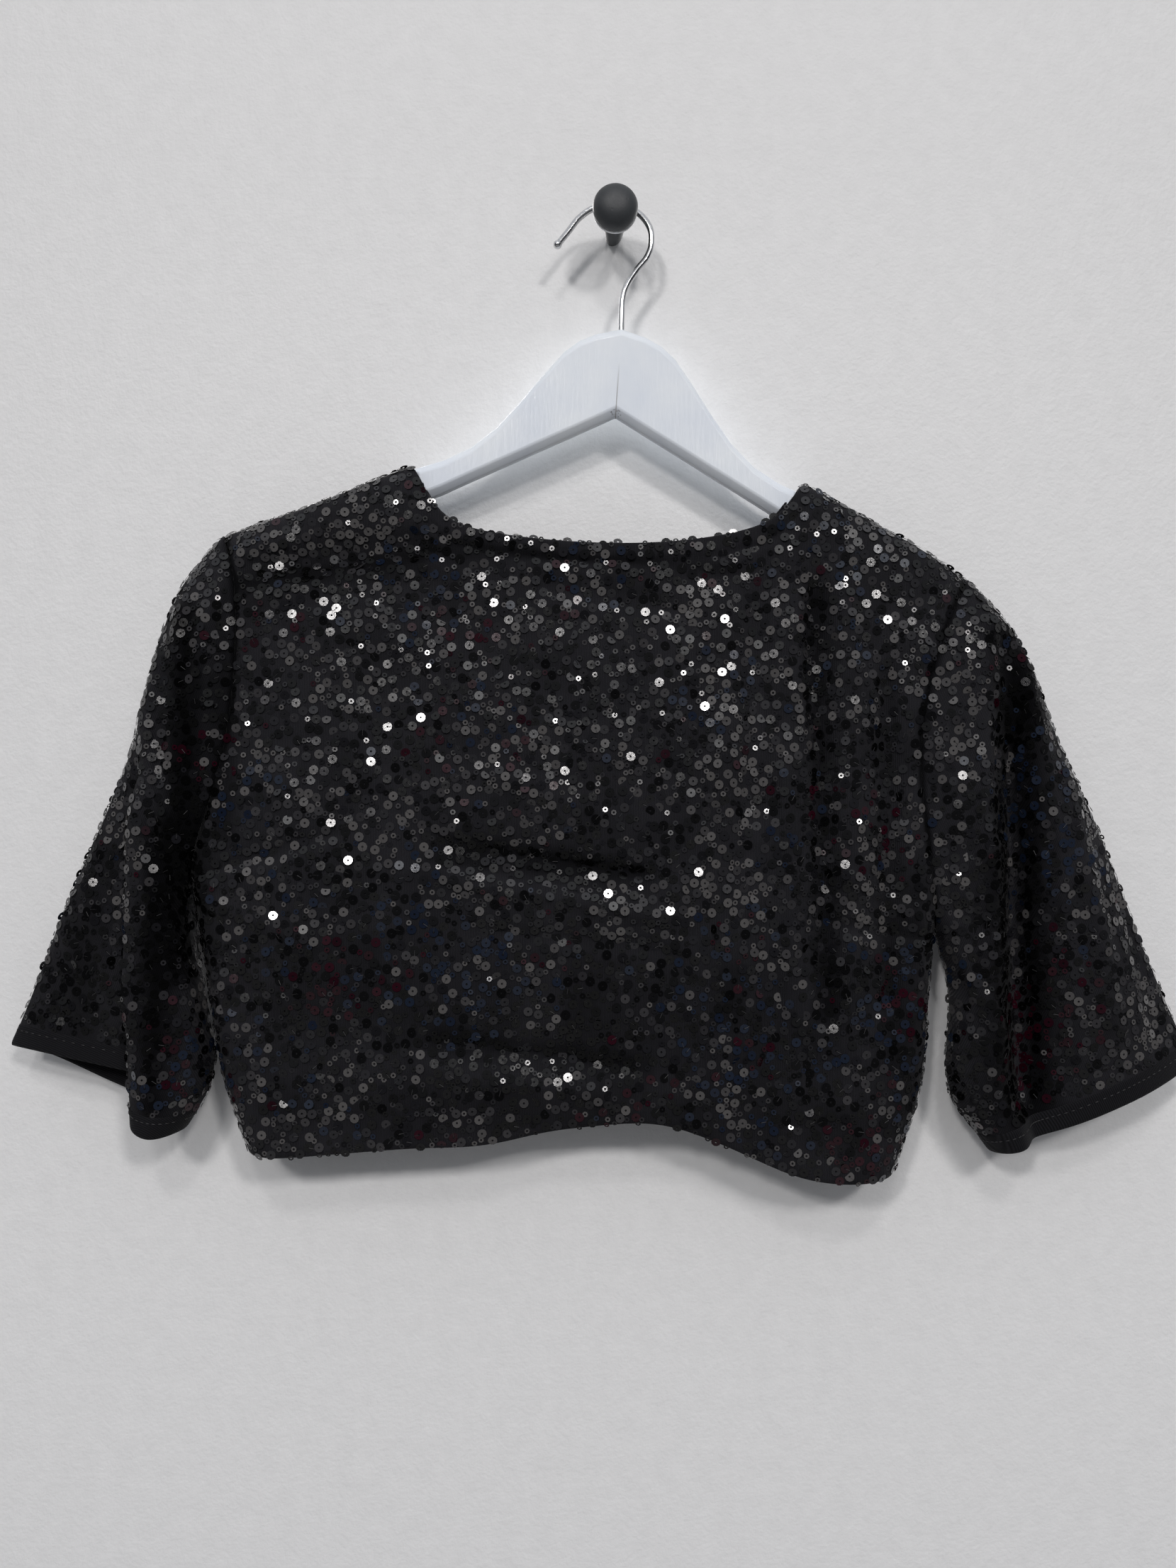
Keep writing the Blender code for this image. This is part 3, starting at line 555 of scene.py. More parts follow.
def chrome_material(name, rough):
    material, nodes, links, shader = new_material(name)
    vector = object_coordinates(nodes, links)
    streak = noise_texture(nodes, links, vector, 900, 4.0)
    shader.inputs["Metallic"].default_value = 1.0
    metal = two_tone(nodes, links, streak, (0.56, 0.565, 0.575), (0.68, 0.685, 0.69))
    links.new(metal, shader.inputs["Base Color"])
    roughen(nodes, links, shader, streak, *rough)
    add_bump(nodes, links, shader, streak, 0.08, 0.0002)
    return material


def knob_material(name):
    """Dark grey powder-like paint with a few small dents."""
    material, nodes, links, shader = new_material(name)
    vector = object_coordinates(nodes, links)
    cloudy = noise_texture(nodes, links, vector, 120, 4.0)
    grain = noise_texture(nodes, links, vector, 1500, 3.0)
    dents = nodes.new("ShaderNodeTexVoronoi")
    dents.inputs["Scale"].default_value = 260
    links.new(vector, dents.inputs["Vector"])
    pits = map_range(nodes, links, dents.outputs["Distance"], 0, 1, 0.05, 0.2)
    grey = two_tone(nodes, links, cloudy, (0.022, 0.025, 0.028), (0.034, 0.038, 0.042))
    links.new(grey, shader.inputs["Base Color"])
    roughen(nodes, links, shader, grain, 0.42, 0.62)
    under = add_bump(nodes, links, shader, grain, 0.2, 0.0002)
    add_bump(nodes, links, shader, pits, 0.25, 0.0002, under)
    return material


def wall_material(name):
    """Pale wall paint with a fine roller texture, brightened below by painted light where the
    lamps fall off, and open to light and sight from behind."""
    material, nodes, links, shader = new_material(name)
    vector = object_coordinates(nodes, links)
    roller = noise_texture(nodes, links, vector, 330, 5.0, 0.6)
    specks = noise_texture(nodes, links, vector, 90, 2.0)
    paint = two_tone(nodes, links, specks, (0.66, 0.665, 0.665), (0.69, 0.695, 0.695))
    parts = nodes.new("ShaderNodeSeparateXYZ")
    links.new(vector, parts.inputs["Vector"])
    # Painted light: the wall's colour is brightened towards the bottom.
    painted_light_below = map_range(nodes, links, parts.outputs["Z"], 1.27, 1.08, -0.55, 0.05)
    links.new(scaled_color(nodes, links, paint, painted_light_below), shader.inputs["Base Color"])
    shader.inputs["Roughness"].default_value = 0.52
    add_bump(nodes, links, shader, roller, 0.5, 0.0008)
    clear = nodes.new("ShaderNodeBsdfTransparent")
    side = nodes.new("ShaderNodeNewGeometry")
    path = nodes.new("ShaderNodeLightPath")
    either = worked_out(
        nodes, links, "MAXIMUM", side.outputs["Backfacing"], path.outputs["Is Shadow Ray"])
    blend = nodes.new("ShaderNodeMixShader")
    links.new(either, blend.inputs["Fac"])
    links.new(shader.outputs["BSDF"], blend.inputs[1])
    links.new(clear.outputs["BSDF"], blend.inputs[2])
    links.new(blend.outputs["Shader"], nodes["Material Output"].inputs["Surface"])
    return material


def seen_or_felt(nodes, links, seen, felt):
    """One colour for what the camera sees and a dimmer one for what falls on the pieces."""
    path = nodes.new("ShaderNodeLightPath")
    return mixed_color(nodes, links, path.outputs["Is Camera Ray"], felt, seen)


def floor_material(name):
    material, nodes, links, shader = new_material(name)
    cloudy = noise_texture(nodes, links, object_coordinates(nodes, links), 4, 4.0)
    pale = two_tone(nodes, links, cloudy, (0.55, 0.55, 0.54), (0.60, 0.60, 0.59))
    dim = two_tone(nodes, links, cloudy, (0.16, 0.16, 0.16), (0.18, 0.18, 0.18))
    links.new(seen_or_felt(nodes, links, pale, dim), shader.inputs["Base Color"])
    shader.inputs["Roughness"].default_value = 0.7
    return material


# Meshes.

def piece_from(name, bm, materials, smooth=True):
    mesh = bpy.data.meshes.new(name)
    bm.to_mesh(mesh)
    bm.free()
    for polygon in mesh.polygons:
        polygon.use_smooth = smooth
    for material in materials:
        mesh.materials.append(material)
    piece = bpy.data.objects.new(name, mesh)
    bpy.context.scene.collection.objects.link(piece)
    return piece


def node_copy(node):
    """The frame's node with its triangles merged and joined into quads."""
    bm = bmesh.new()
    bm.from_mesh(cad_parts[node].data)
    bmesh.ops.remove_doubles(bm, verts=bm.verts, dist=MERGE)
    bmesh.ops.join_triangles(
        bm, faces=bm.faces, angle_face_threshold=math.radians(40),
        angle_shape_threshold=math.radians(60))
    return bm


def smooth_walls(bm):
    """The faces in groups that no sharp edge divides, the widest first."""
    groups, seen = [], set()
    for start in bm.faces:
        if start in seen:
            continue
        group, queue = [], [start]
        seen.add(start)
        while queue:
            face = queue.pop()
            group.append(face)
            for edge in face.edges:
                for other in edge.link_faces:
                    if other not in seen and face.normal.angle(other.normal) < RIM_TURN:
                        seen.add(other)
                        queue.append(other)
        groups.append(group)
    return sorted(groups, key=lambda group: -sum(face.calc_area() for face in group))


def subdivided(piece):
    """The piece with its subdivision applied."""
    modifier = piece.modifiers.new("smooth", "SUBSURF")
    modifier.levels = modifier.render_levels = SMOOTHING_LEVELS
    evaluated = piece.evaluated_get(bpy.context.evaluated_depsgraph_get())
    mesh = bpy.data.meshes.new_from_object(evaluated)
    old = piece.data
    piece.modifiers.clear()
    piece.data = mesh
    mesh.name = old.name
    bpy.data.meshes.remove(old)
    return piece


def points_of(mesh):
    points = np.zeros(len(mesh.vertices) * 3)
    mesh.vertices.foreach_get("co", points)
    return points.reshape(-1, 3)


def stroke_heights(points, strokes):
    """The soft strokes' summed heights over each point, looking along y."""
    total = np.zeros(len(points))
    for x1, z1, x2, z2, half_width, height in strokes:
        start = np.array([x1, z1]) * MM
        along = np.array([x2 - x1, z2 - z1]) * MM
        length = np.hypot(*along)
        offset = points[:, [0, 2]] - start
        share = offset @ along / length
        aside = np.abs(offset @ np.array([-along[1], along[0]]) / length)
        sway = STROKE_SWAY * np.sin(share / length * STROKE_TURNS + x1)
        across = np.abs(aside + sway) / (half_width * MM)
        outside = np.maximum(-share, share - length)
        profile = np.where(across < 1, (1 - across ** 2) ** 2, 0)
        total += height * profile * smooth_step(1 - outside / END_FADE)
    return total


def crease_heights(points, creases):
    return CREASE_GAIN * MM * stroke_heights(points, creases)


def toward_room(points):
    """1 on the layer on the room side and 0 on the wall side."""
    return smooth_step((ROOM_SIDE - points[:, 1]) / SIDE_BLEND)


def beside_line(points, line, half_width):
    """1 on the line, falling to 0 at the half width beside it."""
    line = np.array(line) * MM
    nearest = np.full(len(points), 1.0)
    for start, end in zip(line[:-1], line[1:]):
        along = end - start
        offset = points[:, [0, 2]] - start
        share = np.clip(offset @ along / (along @ along), 0, 1)
        nearest = np.minimum(
            nearest, np.linalg.norm(offset - share[:, None] * along, axis=1))
    across = nearest / half_width
    return np.where(across < 1, (1 - across ** 2) ** 2, 0)


def beside_armholes(points):
    return sum(beside_line(points, seam, SEAM_HALF_WIDTH) for seam in ARMHOLE_SEAMS)


def shade_at(points):
    """How far the cloth lies in the shade of its folds and seams, from -1 to 1."""
    shade = stroke_heights(points, SHADES) + beside_armholes(points)
    return np.clip(shade, -1, 1) * toward_room(points)


def groove_height(points):
    """The seam groove under the neck band."""
    return -GROOVE_DEPTH * beside_line(points, NECK_GROOVE, GROOVE_HALF_WIDTH)


def unevenness(points, seed):
    """Slight waviness all over, so that no two sequins lie alike."""
    shift = Vector((seed * 3.7, seed * 1.3, 0))
    heights = [
        noise.fractal(Vector(point) * WAVES_PER_METRE + shift, 1.0, 2.0, 3)
        for point in points]
    return UNEVEN * np.array(heights)


def edge_fade(mesh, points):
    """0 at the panel's cut edges, rising to 1 inside."""
    uses = np.zeros((len(points), 2), bool)
    for polygon in mesh.polygons:
        for vertex in polygon.vertices:
            uses[vertex, polygon.material_index] = True
    border = np.flatnonzero(uses.all(axis=1))
    tree = KDTree(len(border))
    for index in border:
        tree.insert(points[index], int(index))
    tree.balance()
    distance = np.array([tree.find(point)[2] for point in points])
    return smooth_step(distance / EDGE_FADE)


def grow_rims(bm, rims, distance):
    """Moves the cut edges outwards along the cloth, so that neighbours meet, and keeps
    them firm under subdivision."""
    ways = {}
    for face in rims:
        for vertex in face.verts:
            ways.setdefault(vertex, Vector())
            ways[vertex] += face.normal
    for vertex, way in ways.items():
        vertex.co += way.normalized() * distance
    rims = set(rims)
    creases = bm.edges.layers.float.new("crease_edge")
    for edge in bm.edges:
        if len(rims.intersection(edge.link_faces)) == 1:
            edge[creases] = RIM_CREASE


def cloth_panel(node, is_outer, materials, move):
    """A panel of the frame, smoothed and creased. Its outer wall has the first material."""
    bm = node_copy(node)
    walls = smooth_walls(bm)
    outer = is_outer(walls[:2])
    grow_rims(bm, [face for group in walls[2:] for face in group], SEAM_CLOSE)
    for face in bm.faces:
        face.material_index = INNER
    for face in outer:
        face.material_index = OUTER
    piece = subdivided(piece_from(f"{node}_panel", bm, materials))
    mesh = piece.data
    points = points_of(mesh)
    seam = SEAM_DEPTH * beside_armholes(points) * toward_room(points)
    points[:, 1] += move(points) * edge_fade(mesh, points) + seam
    mesh.vertices.foreach_set("co", points.ravel())
    mesh.attributes.new("shade", "FLOAT", "POINT").data.foreach_set("value", shade_at(points))
    mesh.update()
    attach(piece, "root")
    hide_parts(node)
    return piece


def facing(sign):
    """Picks the wall whose faces look along y on that side."""
    def pick(groups):
        return max(groups, key=lambda group: sign * sum(f.normal.y for f in group))
    return pick


def widest(groups):
    return groups[0]


def sleeve_move(creases, seed):
    def move(points):
        room = toward_room(points)
        behind = smooth_step((points[:, 1] - WALL_SIDE) / SIDE_BLEND)
        front = crease_heights(points, creases) + unevenness(points, seed)
        back = crease_heights(points, SLEEVE_BACK_CREASES) + unevenness(points, seed + 9)
        return -room * front + behind * back
    return move


def back_move(points):
    fine = crease_heights(points, BACK_CREASES) + unevenness(points, 1)
    return -(fine + groove_height(points))


def front_move(creases, seed):
    def move(points):
        return crease_heights(points, creases) + unevenness(points, seed)
    return move


def no_move(points):
    return np.zeros(len(points))


# Sequins.

def ring(radius, hole, sides):
    """One sequin: a flat ring with a wedge-shaped section."""
    bm = bmesh.new()
    bmesh.ops.create_circle(bm, cap_ends=False, segments=sides, radius=radius)
    outer = list(bm.edges)
    loops = [outer]
    for shrink, drop in ((hole / radius, 0.0), (RING_MIDDLE, -FILM)):
        made = bmesh.ops.extrude_edge_only(bm, edges=loops[-1])["geom"]
        corners = [item for item in made if isinstance(item, bmesh.types.BMVert)]
        for corner in corners:
            flat = Vector((corner.co.x, corner.co.y, 0)).normalized() * radius * shrink
            corner.co = (flat.x, flat.y, drop)
        found = set(corners)
        loops.append([edge for edge in bm.edges if set(edge.verts) <= found])
    bmesh.ops.bridge_loops(bm, edges=loops[-1] + outer)
    bmesh.ops.recalc_face_normals(bm, faces=bm.faces)
    return bm


def sewing_thread(length):
    """A short thread that lies from a sequin's hole over its edge."""
    bm = bmesh.new()
    place = Matrix.Translation((length * 0.5, 0, 0.12 * MM)) @ Matrix.Rotation(
        math.radians(90), 4, "Y")
    bmesh.ops.create_cone(
        bm, cap_ends=True, segments=3, radius1=THREAD, radius2=THREAD, depth=length,
        matrix=place)
    return bm


def stitch():
    bm = bmesh.new()
    bmesh.ops.create_uvsphere(bm, u_segments=6, v_segments=5, radius=1)
    bmesh.ops.transform(bm, verts=bm.verts, matrix=Matrix.Diagonal((
        STITCH_LENGTH / 2, STITCH_RADIUS, STITCH_RADIUS, 1)))
    return bm


def joined_copies(name, bm, frames, material, films=None, smooth=False):
    """One mesh with a copy of the small shape in each frame: a place and three axes."""
    bm.verts.ensure_lookup_table()
    shape = np.array([vertex.co for vertex in bm.verts])
    faces = [[vertex.index for vertex in face.verts] for face in bm.faces]
    bm.free()
    sizes = np.array([len(face) for face in faces])
    corners = np.concatenate(faces)
    count = len(frames)
    places = np.array([place for place, _ in frames])
    turns = np.array([axes for _, axes in frames])
    points = np.einsum("vk,nkc->nvc", shape, turns) + places[:, None]
    loops = corners[None, :] + np.arange(count)[:, None] * len(shape)
    starts = np.concatenate([[0], np.cumsum(np.tile(sizes, count))[:-1]])
    mesh = bpy.data.meshes.new(name)
    mesh.vertices.add(count * len(shape))
    mesh.vertices.foreach_set("co", points.ravel())
    mesh.loops.add(loops.size)
    mesh.loops.foreach_set("vertex_index", loops.ravel().astype(np.int32))
    mesh.polygons.add(len(starts))
    mesh.polygons.foreach_set("loop_start", starts.astype(np.int32))
    mesh.update(calc_edges=True)
    mesh.polygons.foreach_set("use_smooth", np.full(len(starts), smooth))
    if films is not None:
        for layer, values in (("film", films), ("shade", shade_at(places))):
            attribute = mesh.attributes.new(layer, "FLOAT", "POINT")
            attribute.data.foreach_set("value", np.repeat(values, len(shape)))
    mesh.materials.append(material)
    piece = bpy.data.objects.new(name, mesh)
    bpy.context.scene.collection.objects.link(piece)
    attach(piece, "root")
    return piece


class Scatter:
    """Random places on a panel's outer wall that keep apart from each other."""

    def __init__(self, mesh, rng, keep_clear, seam):
        self.rng = rng
        self.seam = seam
        self.keep_clear = keep_clear
        self.cell = LARGE_APART
        self.taken = {}
        mesh.calc_loop_triangles()
        triangles = [t for t in mesh.loop_triangles if t.material_index == OUTER]
        corners = np.array([t.vertices for t in triangles])
        points = points_of(mesh)
        normals = np.array([vertex.normal for vertex in mesh.vertices])
        self.points = points[corners]
        self.normals = normals[corners]
        sides = np.cross(
            self.points[:, 1] - self.points[:, 0], self.points[:, 2] - self.points[:, 0])
        areas = np.linalg.norm(sides, axis=1) / 2
        self.area = areas.sum()
        self.shares = areas / self.area

    def candidates(self, count):
        chosen = self.rng.choice(len(self.shares), count, p=self.shares)
        first, second = self.rng.random((2, count, 1))
        folded = first + second > 1
        first, second = np.where(folded, 1 - first, first), np.where(folded, 1 - second, second)
        weights = np.stack([1 - first - second, first, second], axis=1)
        places = (self.points[chosen] * weights).sum(axis=1)
        normals = (self.normals[chosen] * weights).sum(axis=1)
        return places, normals / np.linalg.norm(normals, axis=1, keepdims=True)

    def cell_of(self, place):
        return tuple(int(math.floor(value / self.cell)) for value in place)

    def is_free(self, place, radius, apart):
        x, y, z = self.cell_of(place)
        for i in (x - 1, x, x + 1):
            for j in (y - 1, y, y + 1):
                for k in (z - 1, z, z + 1):
                    for other, other_radius in self.taken.get((i, j, k), ()):
                        limit = apart if other_radius == radius else MIXED_APART
                        if math.dist(place, other) < limit:
                            return False
        if self.seam and self.seam.find(place)[2] < SEAM_CLEARANCE:
            return False
        return all(
            tree.find_nearest(place)[3] > radius + BAND_CLEARANCE
            for tree in self.keep_clear)

    def fill(self, per_m2, radius, apart):
        """Chosen places and normals for one size of sequin."""
        wanted = int(per_m2 * self.area)
        chosen = []
        for place, normal in zip(*self.candidates(wanted * TRIES)):
            place = tuple(place)
            if self.is_free(place, radius, apart):
                self.taken.setdefault(self.cell_of(place), []).append((place, radius))
                chosen.append((np.array(place), normal))
                if len(chosen) == wanted:
                    break
        return chosen


def turned_frames(chosen, rng):
    """Each sequin's place and axes: a little off the cloth, tilted and turned at random."""
    frames = []
    for place, normal in chosen:
        lift = rng.uniform(*SEQUIN_LIFT)
        tilt = rng.normal(0, SEQUIN_TILT, 2)
        if rng.random() < LOOSE_SHARE:
            tilt *= LOOSE_TILT
        tilt = np.clip(tilt, -MOST_TILT, MOST_TILT)
        turn = (
            Vector(normal).to_track_quat("Z", "Y").to_matrix()
            @ Euler((tilt[0], tilt[1], rng.uniform(0, 2 * math.pi))).to_matrix())
        frames.append((place + normal * lift, np.array(turn.transposed())))
    return frames


def film_values(frames, rng):
    """Where each sequin lies on the film's ramp: painted maroon and navy reflections come in
    loose clusters, the painted grey reflection of the room in patches, and all are darker in
    the folds' painted shade.
    """
    values = []
    places = np.array([place for place, _ in frames])
    for place, shade in zip(places, shade_at(places)):
        spot = Vector(place)
        lit = FILM_MEAN - SHADED_FILM * shade
        patch = noise.noise(spot * PATCH_WAVES + Vector((0, 5, 0)))
        red = noise.noise(spot * MAROON_WAVES + Vector((9, 0, 3)))
        blue = noise.noise(spot * NAVY_WAVES + Vector((2, 8, 6)))
        low = float(np.clip((MAROON_TOP - place[2]) / MAROON_DROP, 0, 1))
        chance = rng.random()
        # Painted reflections: maroon of red things low in the room, navy of blue ones.
        if chance < FEWEST_MAROON + MAROON_GAIN * low * max(0.0, red - MAROON_FROM):
            values.append(rng.uniform(*MAROON_REFLECTION))
        elif 1 - chance < FEWEST_NAVY + NAVY_GAIN * max(0.0, blue - NAVY_FROM):
            values.append(rng.uniform(*NAVY_REFLECTION))
        else:
            value = lit + FILM_PATCHES * patch + rng.normal(0, FILM_SPREAD)
            values.append(float(np.clip(value, 0, FILM_GREY)))
    return np.array(values)


def sew_sequins(panel, seed, keep_clear, seam, crowding):
    rng = np.random.default_rng(seed)
    scatter = Scatter(panel.data, rng, keep_clear, seam)
    large = turned_frames(
        scatter.fill(crowding * LARGE_PER_M2, LARGE_RADIUS, LARGE_APART), rng)
    small = turned_frames(
        scatter.fill(crowding * SMALL_PER_M2, SMALL_RADIUS, SMALL_APART), rng)
    made = []
    for size, frames, radius, hole, sides in (
        ("large", large, LARGE_RADIUS, LARGE_HOLE, LARGE_SIDES),
        ("small", small, SMALL_RADIUS, SMALL_HOLE, SMALL_SIDES),
    ):
        made.append(joined_copies(
            f"sequins_{size}_{panel.name}", ring(radius, hole, sides), frames,
            film, film_values(frames, rng)))
    sewn = [item for item in large if rng.random() < THREADED_SHARE]
    made.append(joined_copies(
        f"sewing_{panel.name}", sewing_thread(THREAD_LENGTH), sewn, sewing))
    return made


# Seams.

def border_lines(mesh):
    """The outer wall's border as lines of points, each with its normal and inward way."""
    walls = {}
    for polygon in mesh.polygons:
        for key in polygon.edge_keys:
            walls.setdefault(key, []).append(polygon)
    steps, inward = {}, {}
    for (a, b), sides in walls.items():
        kinds = sorted(side.material_index for side in sides)
        if kinds != [OUTER, INNER]:
            continue
        steps.setdefault(a, []).append(b)
        steps.setdefault(b, []).append(a)
        wall = next(side for side in sides if side.material_index == OUTER)
        middle = (mesh.vertices[a].co + mesh.vertices[b].co) / 2
        for corner in (a, b):
            inward.setdefault(corner, []).append((wall.center - middle).normalized())
    lines, seen = [], set()
    for start in steps:
        if start in seen:
            continue
        line, here = [], start
        while here is not None:
            seen.add(here)
            line.append(here)
            here = next((other for other in steps[here] if other not in seen), None)
        lines.append([
            (mesh.vertices[i].co.copy(), mesh.vertices[i].normal.copy(),
             sum(inward[i], Vector()).normalized()) for i in line])
    return lines


def stitch_row(name, line, inset, raise_by, material):
    """Even stitches beside a border line."""
    places = [point + inward * inset + normal * raise_by for point, normal, inward in line]
    frames, travelled = [], 0.0
    for (here, after), (_, normal, _) in zip(zip(places[:-1], places[1:]), line):
        step = after - here
        if step.length > 4 * STITCH_PITCH:
            continue
        travelled += step.length
        if travelled >= STITCH_PITCH and step.length > 0:
            travelled -= STITCH_PITCH
            along = step.normalized()
            up = (normal - normal.dot(along) * along).normalized()
            frames.append((np.array(after), np.array([along, up.cross(along), up])))
    return joined_copies(name, stitch(), frames, material, smooth=True)


# The jacket.

knits = {
    "straight": knit_material("knit_body", 0),
    "left": knit_material("knit_left_sleeve", 19),
    "right": knit_material("knit_right_sleeve", -19),
}
inside = knit_material("knit_wrong_side", 0, 0.75)
film = film_material("sequin_film")
sewing = thread_material("sewing_thread", (0.035, 0.034, 0.036))

panels = {}
for node, is_outer, knit, move in (
    ("back", facing(-1), "straight", back_move),
    ("front_left", facing(1), "straight", front_move(FRONT_LEFT_CREASES, 3)),
    ("front_right", facing(1), "straight", front_move(FRONT_RIGHT_CREASES, 4)),
    ("sleeve_left", widest, "left", sleeve_move(LEFT_SLEEVE_CREASES, 5)),
    ("sleeve_right", widest, "right", sleeve_move(RIGHT_SLEEVE_CREASES, 6)),
    ("neck_band", facing(-1), "straight", no_move),
):
    panels[node] = cloth_panel(node, is_outer, [knits[knit], inside], move)


def cuff_tape(side, turn):
    """The binding, whose upper edge reaches over the sleeve's lower one."""
    bm = node_copy(f"cuff_{side}")
    upper = [
        face for group in smooth_walls(bm)[2:] for face in group
        if face.normal.z > CUFF_UPWARD]
    grow_rims(bm, upper, CUFF_OVERLAP)
    twill = twill_material(f"twill_{side}_cuff", turn)
    piece = subdivided(piece_from(f"cuff_{side}_tape", bm, [twill]))
    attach(piece, "root")
    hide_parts(f"cuff_{side}")
    return piece


cuffs = {"left": cuff_tape("left", 20), "right": cuff_tape("right", -20)}


def surface_tree(piece):
    mesh = piece.data
    return BVHTree.FromPolygons(
        [vertex.co for vertex in mesh.vertices],
        [tuple(polygon.vertices) for polygon in mesh.polygons])


def line_height(line):
    return sum(point.z for point, _, _ in line) / len(line)


def seam_tree(lines):
    """The armhole seams, finely sampled."""
    points = []
    for line in lines:
        for (here, _, _), (after, _, _) in zip(line, line[1:] + line[:1]):
            if (after - here).length < LONGEST_SEAM_STEP:
                points += [
                    here.lerp(after, step / SEAM_SAMPLES) for step in range(SEAM_SAMPLES)]
    tree = KDTree(len(points))
    for index, point in enumerate(points):
        tree.insert(point, index)
    tree.balance()
    return tree


sleeve_lines = {side: border_lines(panels[f"sleeve_{side}"].data) for side in cuffs}
armholes = seam_tree([max(lines, key=line_height) for lines in sleeve_lines.values()])
# What each panel's sequins keep clear of.
clear_of = {
    "back": [surface_tree(panels["neck_band"])],
    "sleeve_left": [surface_tree(cuffs["left"])],
    "sleeve_right": [surface_tree(cuffs["right"])],
}
# What is sewn on each panel.
sewn_on = {}
for seed, (node, panel) in enumerate(panels.items(), FIRST_SEED):
    is_band = node == "neck_band"
    sewn_on[node] = sew_sequins(
        panel, seed, clear_of.get(node, []), None if is_band else armholes,
        BAND_CROWDING if is_band else 1)

for side, lines in sleeve_lines.items():
    low = min(lines, key=line_height)
    row = stitch_row(
        f"stitches_cuff_{side}", low, CUFF_STITCH_INSET, CUFF_STITCH_RISE, sewing)
    for piece in (cuffs[side], row):
        sewn_on[f"sleeve_{side}"].append(piece)
neck_line = max(border_lines(panels["neck_band"].data), key=len)
lower = [item for item in neck_line if item[2].z > BAND_UPWARD]
neck_row = stitch_row("stitches_neck", lower, NECK_STITCH_INSET, NECK_STITCH_RISE, sewing)
sewn_on["back"] += [panels["neck_band"], neck_row, *sewn_on["neck_band"]]

# What it hangs on.


def painted_hanger():
    bm = node_copy("hanger")
    sharp = [edge for edge in bm.edges if edge.calc_face_angle(0) > math.radians(25)]
    bmesh.ops.bevel(
        bm, geom=sharp, offset=HANGER_BEVEL, offset_type="OFFSET", segments=3, profile=0.5,
        affect="EDGES", material=-1, clamp_overlap=True)
    bm.normal_update()
    piece = piece_from("painted_hanger", bm, [paint_material("hanger_paint")])
    for polygon in piece.data.polygons:
        polygon.use_smooth = abs(polygon.normal.y) < FLAT_FACE
    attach(piece, "root")
    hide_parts("hanger")


def knob_head():
    piece = subdivided(
        piece_from("knob_head", node_copy("wall_knob"), [knob_material("knob_paint")]))
    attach(piece, "root")
    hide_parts("wall_knob")


def knob_collar():
    """The bright ring behind the knob's head."""
    bm = bmesh.new()
    bmesh.ops.create_circle(
        bm, cap_ends=False, segments=COLLAR_SIDES, radius=COLLAR_WIRE,
        matrix=Matrix.Translation((COLLAR_RADIUS, COLLAR_Y, 0)))
    bmesh.ops.spin(
        bm, geom=bm.verts[:] + bm.edges[:], cent=(0, 0, 0), axis=(0, 1, 0),
        angle=2 * math.pi, steps=COLLAR_STEPS, use_merge=True)
    bmesh.ops.remove_doubles(bm, verts=bm.verts, dist=MERGE)
    bmesh.ops.recalc_face_normals(bm, faces=bm.faces)
    piece = piece_from(
        "knob_collar", bm, [chrome_material("collar_metal", rough=(0.38, 0.55))])
    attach(piece, "root")


def smooth_line(points, steps):
    """A soft line through every point, with this many steps from one to the next."""
    padded = [2 * points[0] - points[1], *points, 2 * points[-1] - points[-2]]
    line = []
    for before, start, end, after in zip(padded, padded[1:], padded[2:], padded[3:]):
        for step in range(steps):
            t = step / steps
            line.append(0.5 * (
                2 * start + (end - before) * t
                + (2 * before - 5 * start + 4 * end - after) * t ** 2
                + (3 * start - before - 3 * end + after) * t ** 3))
    return [*line, points[-1]]


def wire_hook():
    """The bent wire with a ball at its tip. Its lower end is let into the hanger."""
    points = [Vector((x * MM, HOOK_Y, z * MM)) for x, z in HOOK_LINE]
    line = smooth_line(points, WIRE_STEPS)
    bm = bmesh.new()
    ring_edges = []
    for index, place in enumerate(line):
        ahead = line[min(index + 1, len(line) - 1)] - line[max(index - 1, 0)]
        turn = Vector((0, 0, 1)).rotation_difference(ahead.normalized()).to_matrix().to_4x4()
        target = Matrix.Translation(place) @ turn
        if not ring_edges:
            bmesh.ops.create_circle(
                bm, cap_ends=False, segments=WIRE_SIDES, radius=WIRE_RADIUS, matrix=target)
            ring_edges = list(bm.edges)
            first = ring_edges
        else:
            made = bmesh.ops.extrude_edge_only(bm, edges=ring_edges)["geom"]
            corners = [item for item in made if isinstance(item, bmesh.types.BMVert)]
            bmesh.ops.transform(bm, verts=corners, matrix=target @ last.inverted())
            found = set(corners)
            ring_edges = [
                item for item in made
                if isinstance(item, bmesh.types.BMEdge) and set(item.verts) <= found]
        last = target
    for edges in (first, ring_edges):
        bmesh.ops.edgeloop_fill(bm, edges=edges)
    bmesh.ops.create_uvsphere(
        bm, u_segments=20, v_segments=14, radius=BALL_RADIUS,
        matrix=Matrix.Translation(line[-1]))
    bmesh.ops.recalc_face_normals(bm, faces=bm.faces)
    piece = piece_from("wire_hook", bm, [chrome_material("hook_chrome", rough=(0.07, 0.24))])
    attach(piece, "root")
    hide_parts("hook")


painted_hanger()
wire_hook()
knob_head()
knob_collar()

# Wall, floor, lights and camera.


def plane(name, size, matrix, material):
    bm = bmesh.new()
    bmesh.ops.create_grid(bm, x_segments=1, y_segments=1, size=size, matrix=matrix)
    piece = piece_from(name, bm, [material], smooth=False)
    return piece


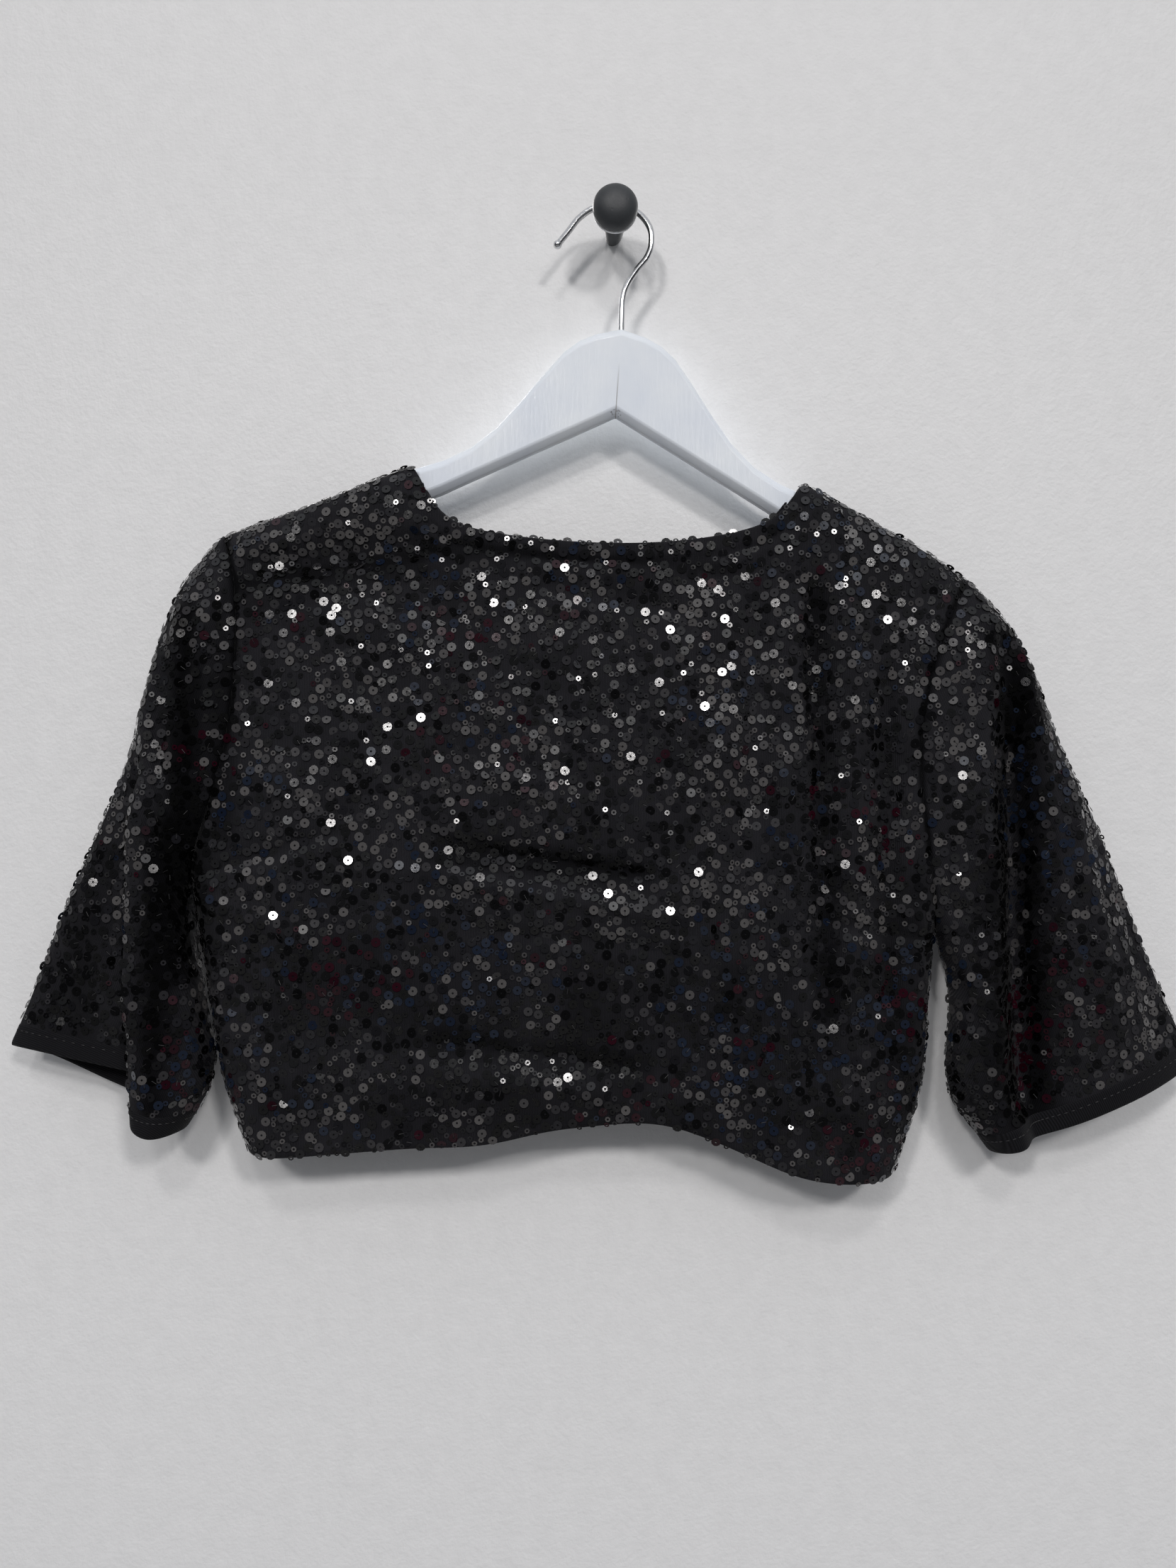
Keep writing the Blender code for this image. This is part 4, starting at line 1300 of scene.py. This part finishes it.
upright = Matrix.Rotation(math.radians(90), 4, "X")
plane(
    "room_wall", WALL_REACH, Matrix.Translation((0, WALL_Y, WALL_MIDDLE)) @ upright,
    wall_material("wall_paint"))
plane(
    "room_floor", FLOOR_REACH, Matrix.Translation((0, 0, FLOOR_HEIGHT)),
    floor_material("floor"))


def area_light(name, place, size, power, color):
    """A lamp turned toward the middle of the jacket."""
    light = bpy.data.lights.new(name, "AREA")
    light.shape = "RECTANGLE"
    light.size, light.size_y = size
    light.energy = power
    light.color = color
    lamp = bpy.data.objects.new(name, light)
    lamp.location = place
    lamp.rotation_euler = (Vector(CENTRE) - Vector(place)).to_track_quat("-Z", "Y").to_euler()
    bpy.context.scene.collection.objects.link(lamp)


for row in LIGHTS:
    area_light(*row)

world = bpy.data.worlds.new("studio")
world.use_nodes = True
world_nodes, world_links = world.node_tree.nodes, world.node_tree.links
direction = world_nodes.new("ShaderNodeTexCoord")
height = world_nodes.new("ShaderNodeSeparateXYZ")
world_links.new(direction.outputs["Generated"], height.inputs["Vector"])
room = color_ramp(world_nodes, world_links, map_range(
    world_nodes, world_links, height.outputs["Z"], 0.0, 1.0, -1.0), [
        (0.34, (0.04, 0.04, 0.045)),
        (0.475, (0.06, 0.06, 0.07)),
        (0.56, (0.17, 0.175, 0.19)),
        (0.72, (0.44, 0.45, 0.48)),
        (1.0, (0.90, 0.93, 0.98)),
    ])
backdrop = color_ramp(world_nodes, world_links, height.outputs["Z"], [
    (0.0, (0.70, 0.71, 0.72)),
    (1.0, (0.80, 0.81, 0.82)),
])
world_links.new(
    seen_or_felt(world_nodes, world_links, backdrop, room),
    world_nodes["Background"].inputs["Color"])
world_nodes["Background"].inputs["Strength"].default_value = 0.8
scene = bpy.context.scene
scene.world = world
scene.view_settings.view_transform = "Standard"

camera_data = bpy.data.cameras.new("camera")
camera_data.sensor_fit = "AUTO"
camera_data.sensor_width = SENSOR_MM
camera_data.lens = FOCAL_PIXELS / PHOTO_HEIGHT_PIXELS * SENSOR_MM
camera = bpy.data.objects.new("camera", camera_data)
camera.location = CAMERA_PLACE
camera.rotation_euler = (math.radians(90), 0, 0)
scene.collection.objects.link(camera)
scene.camera = camera
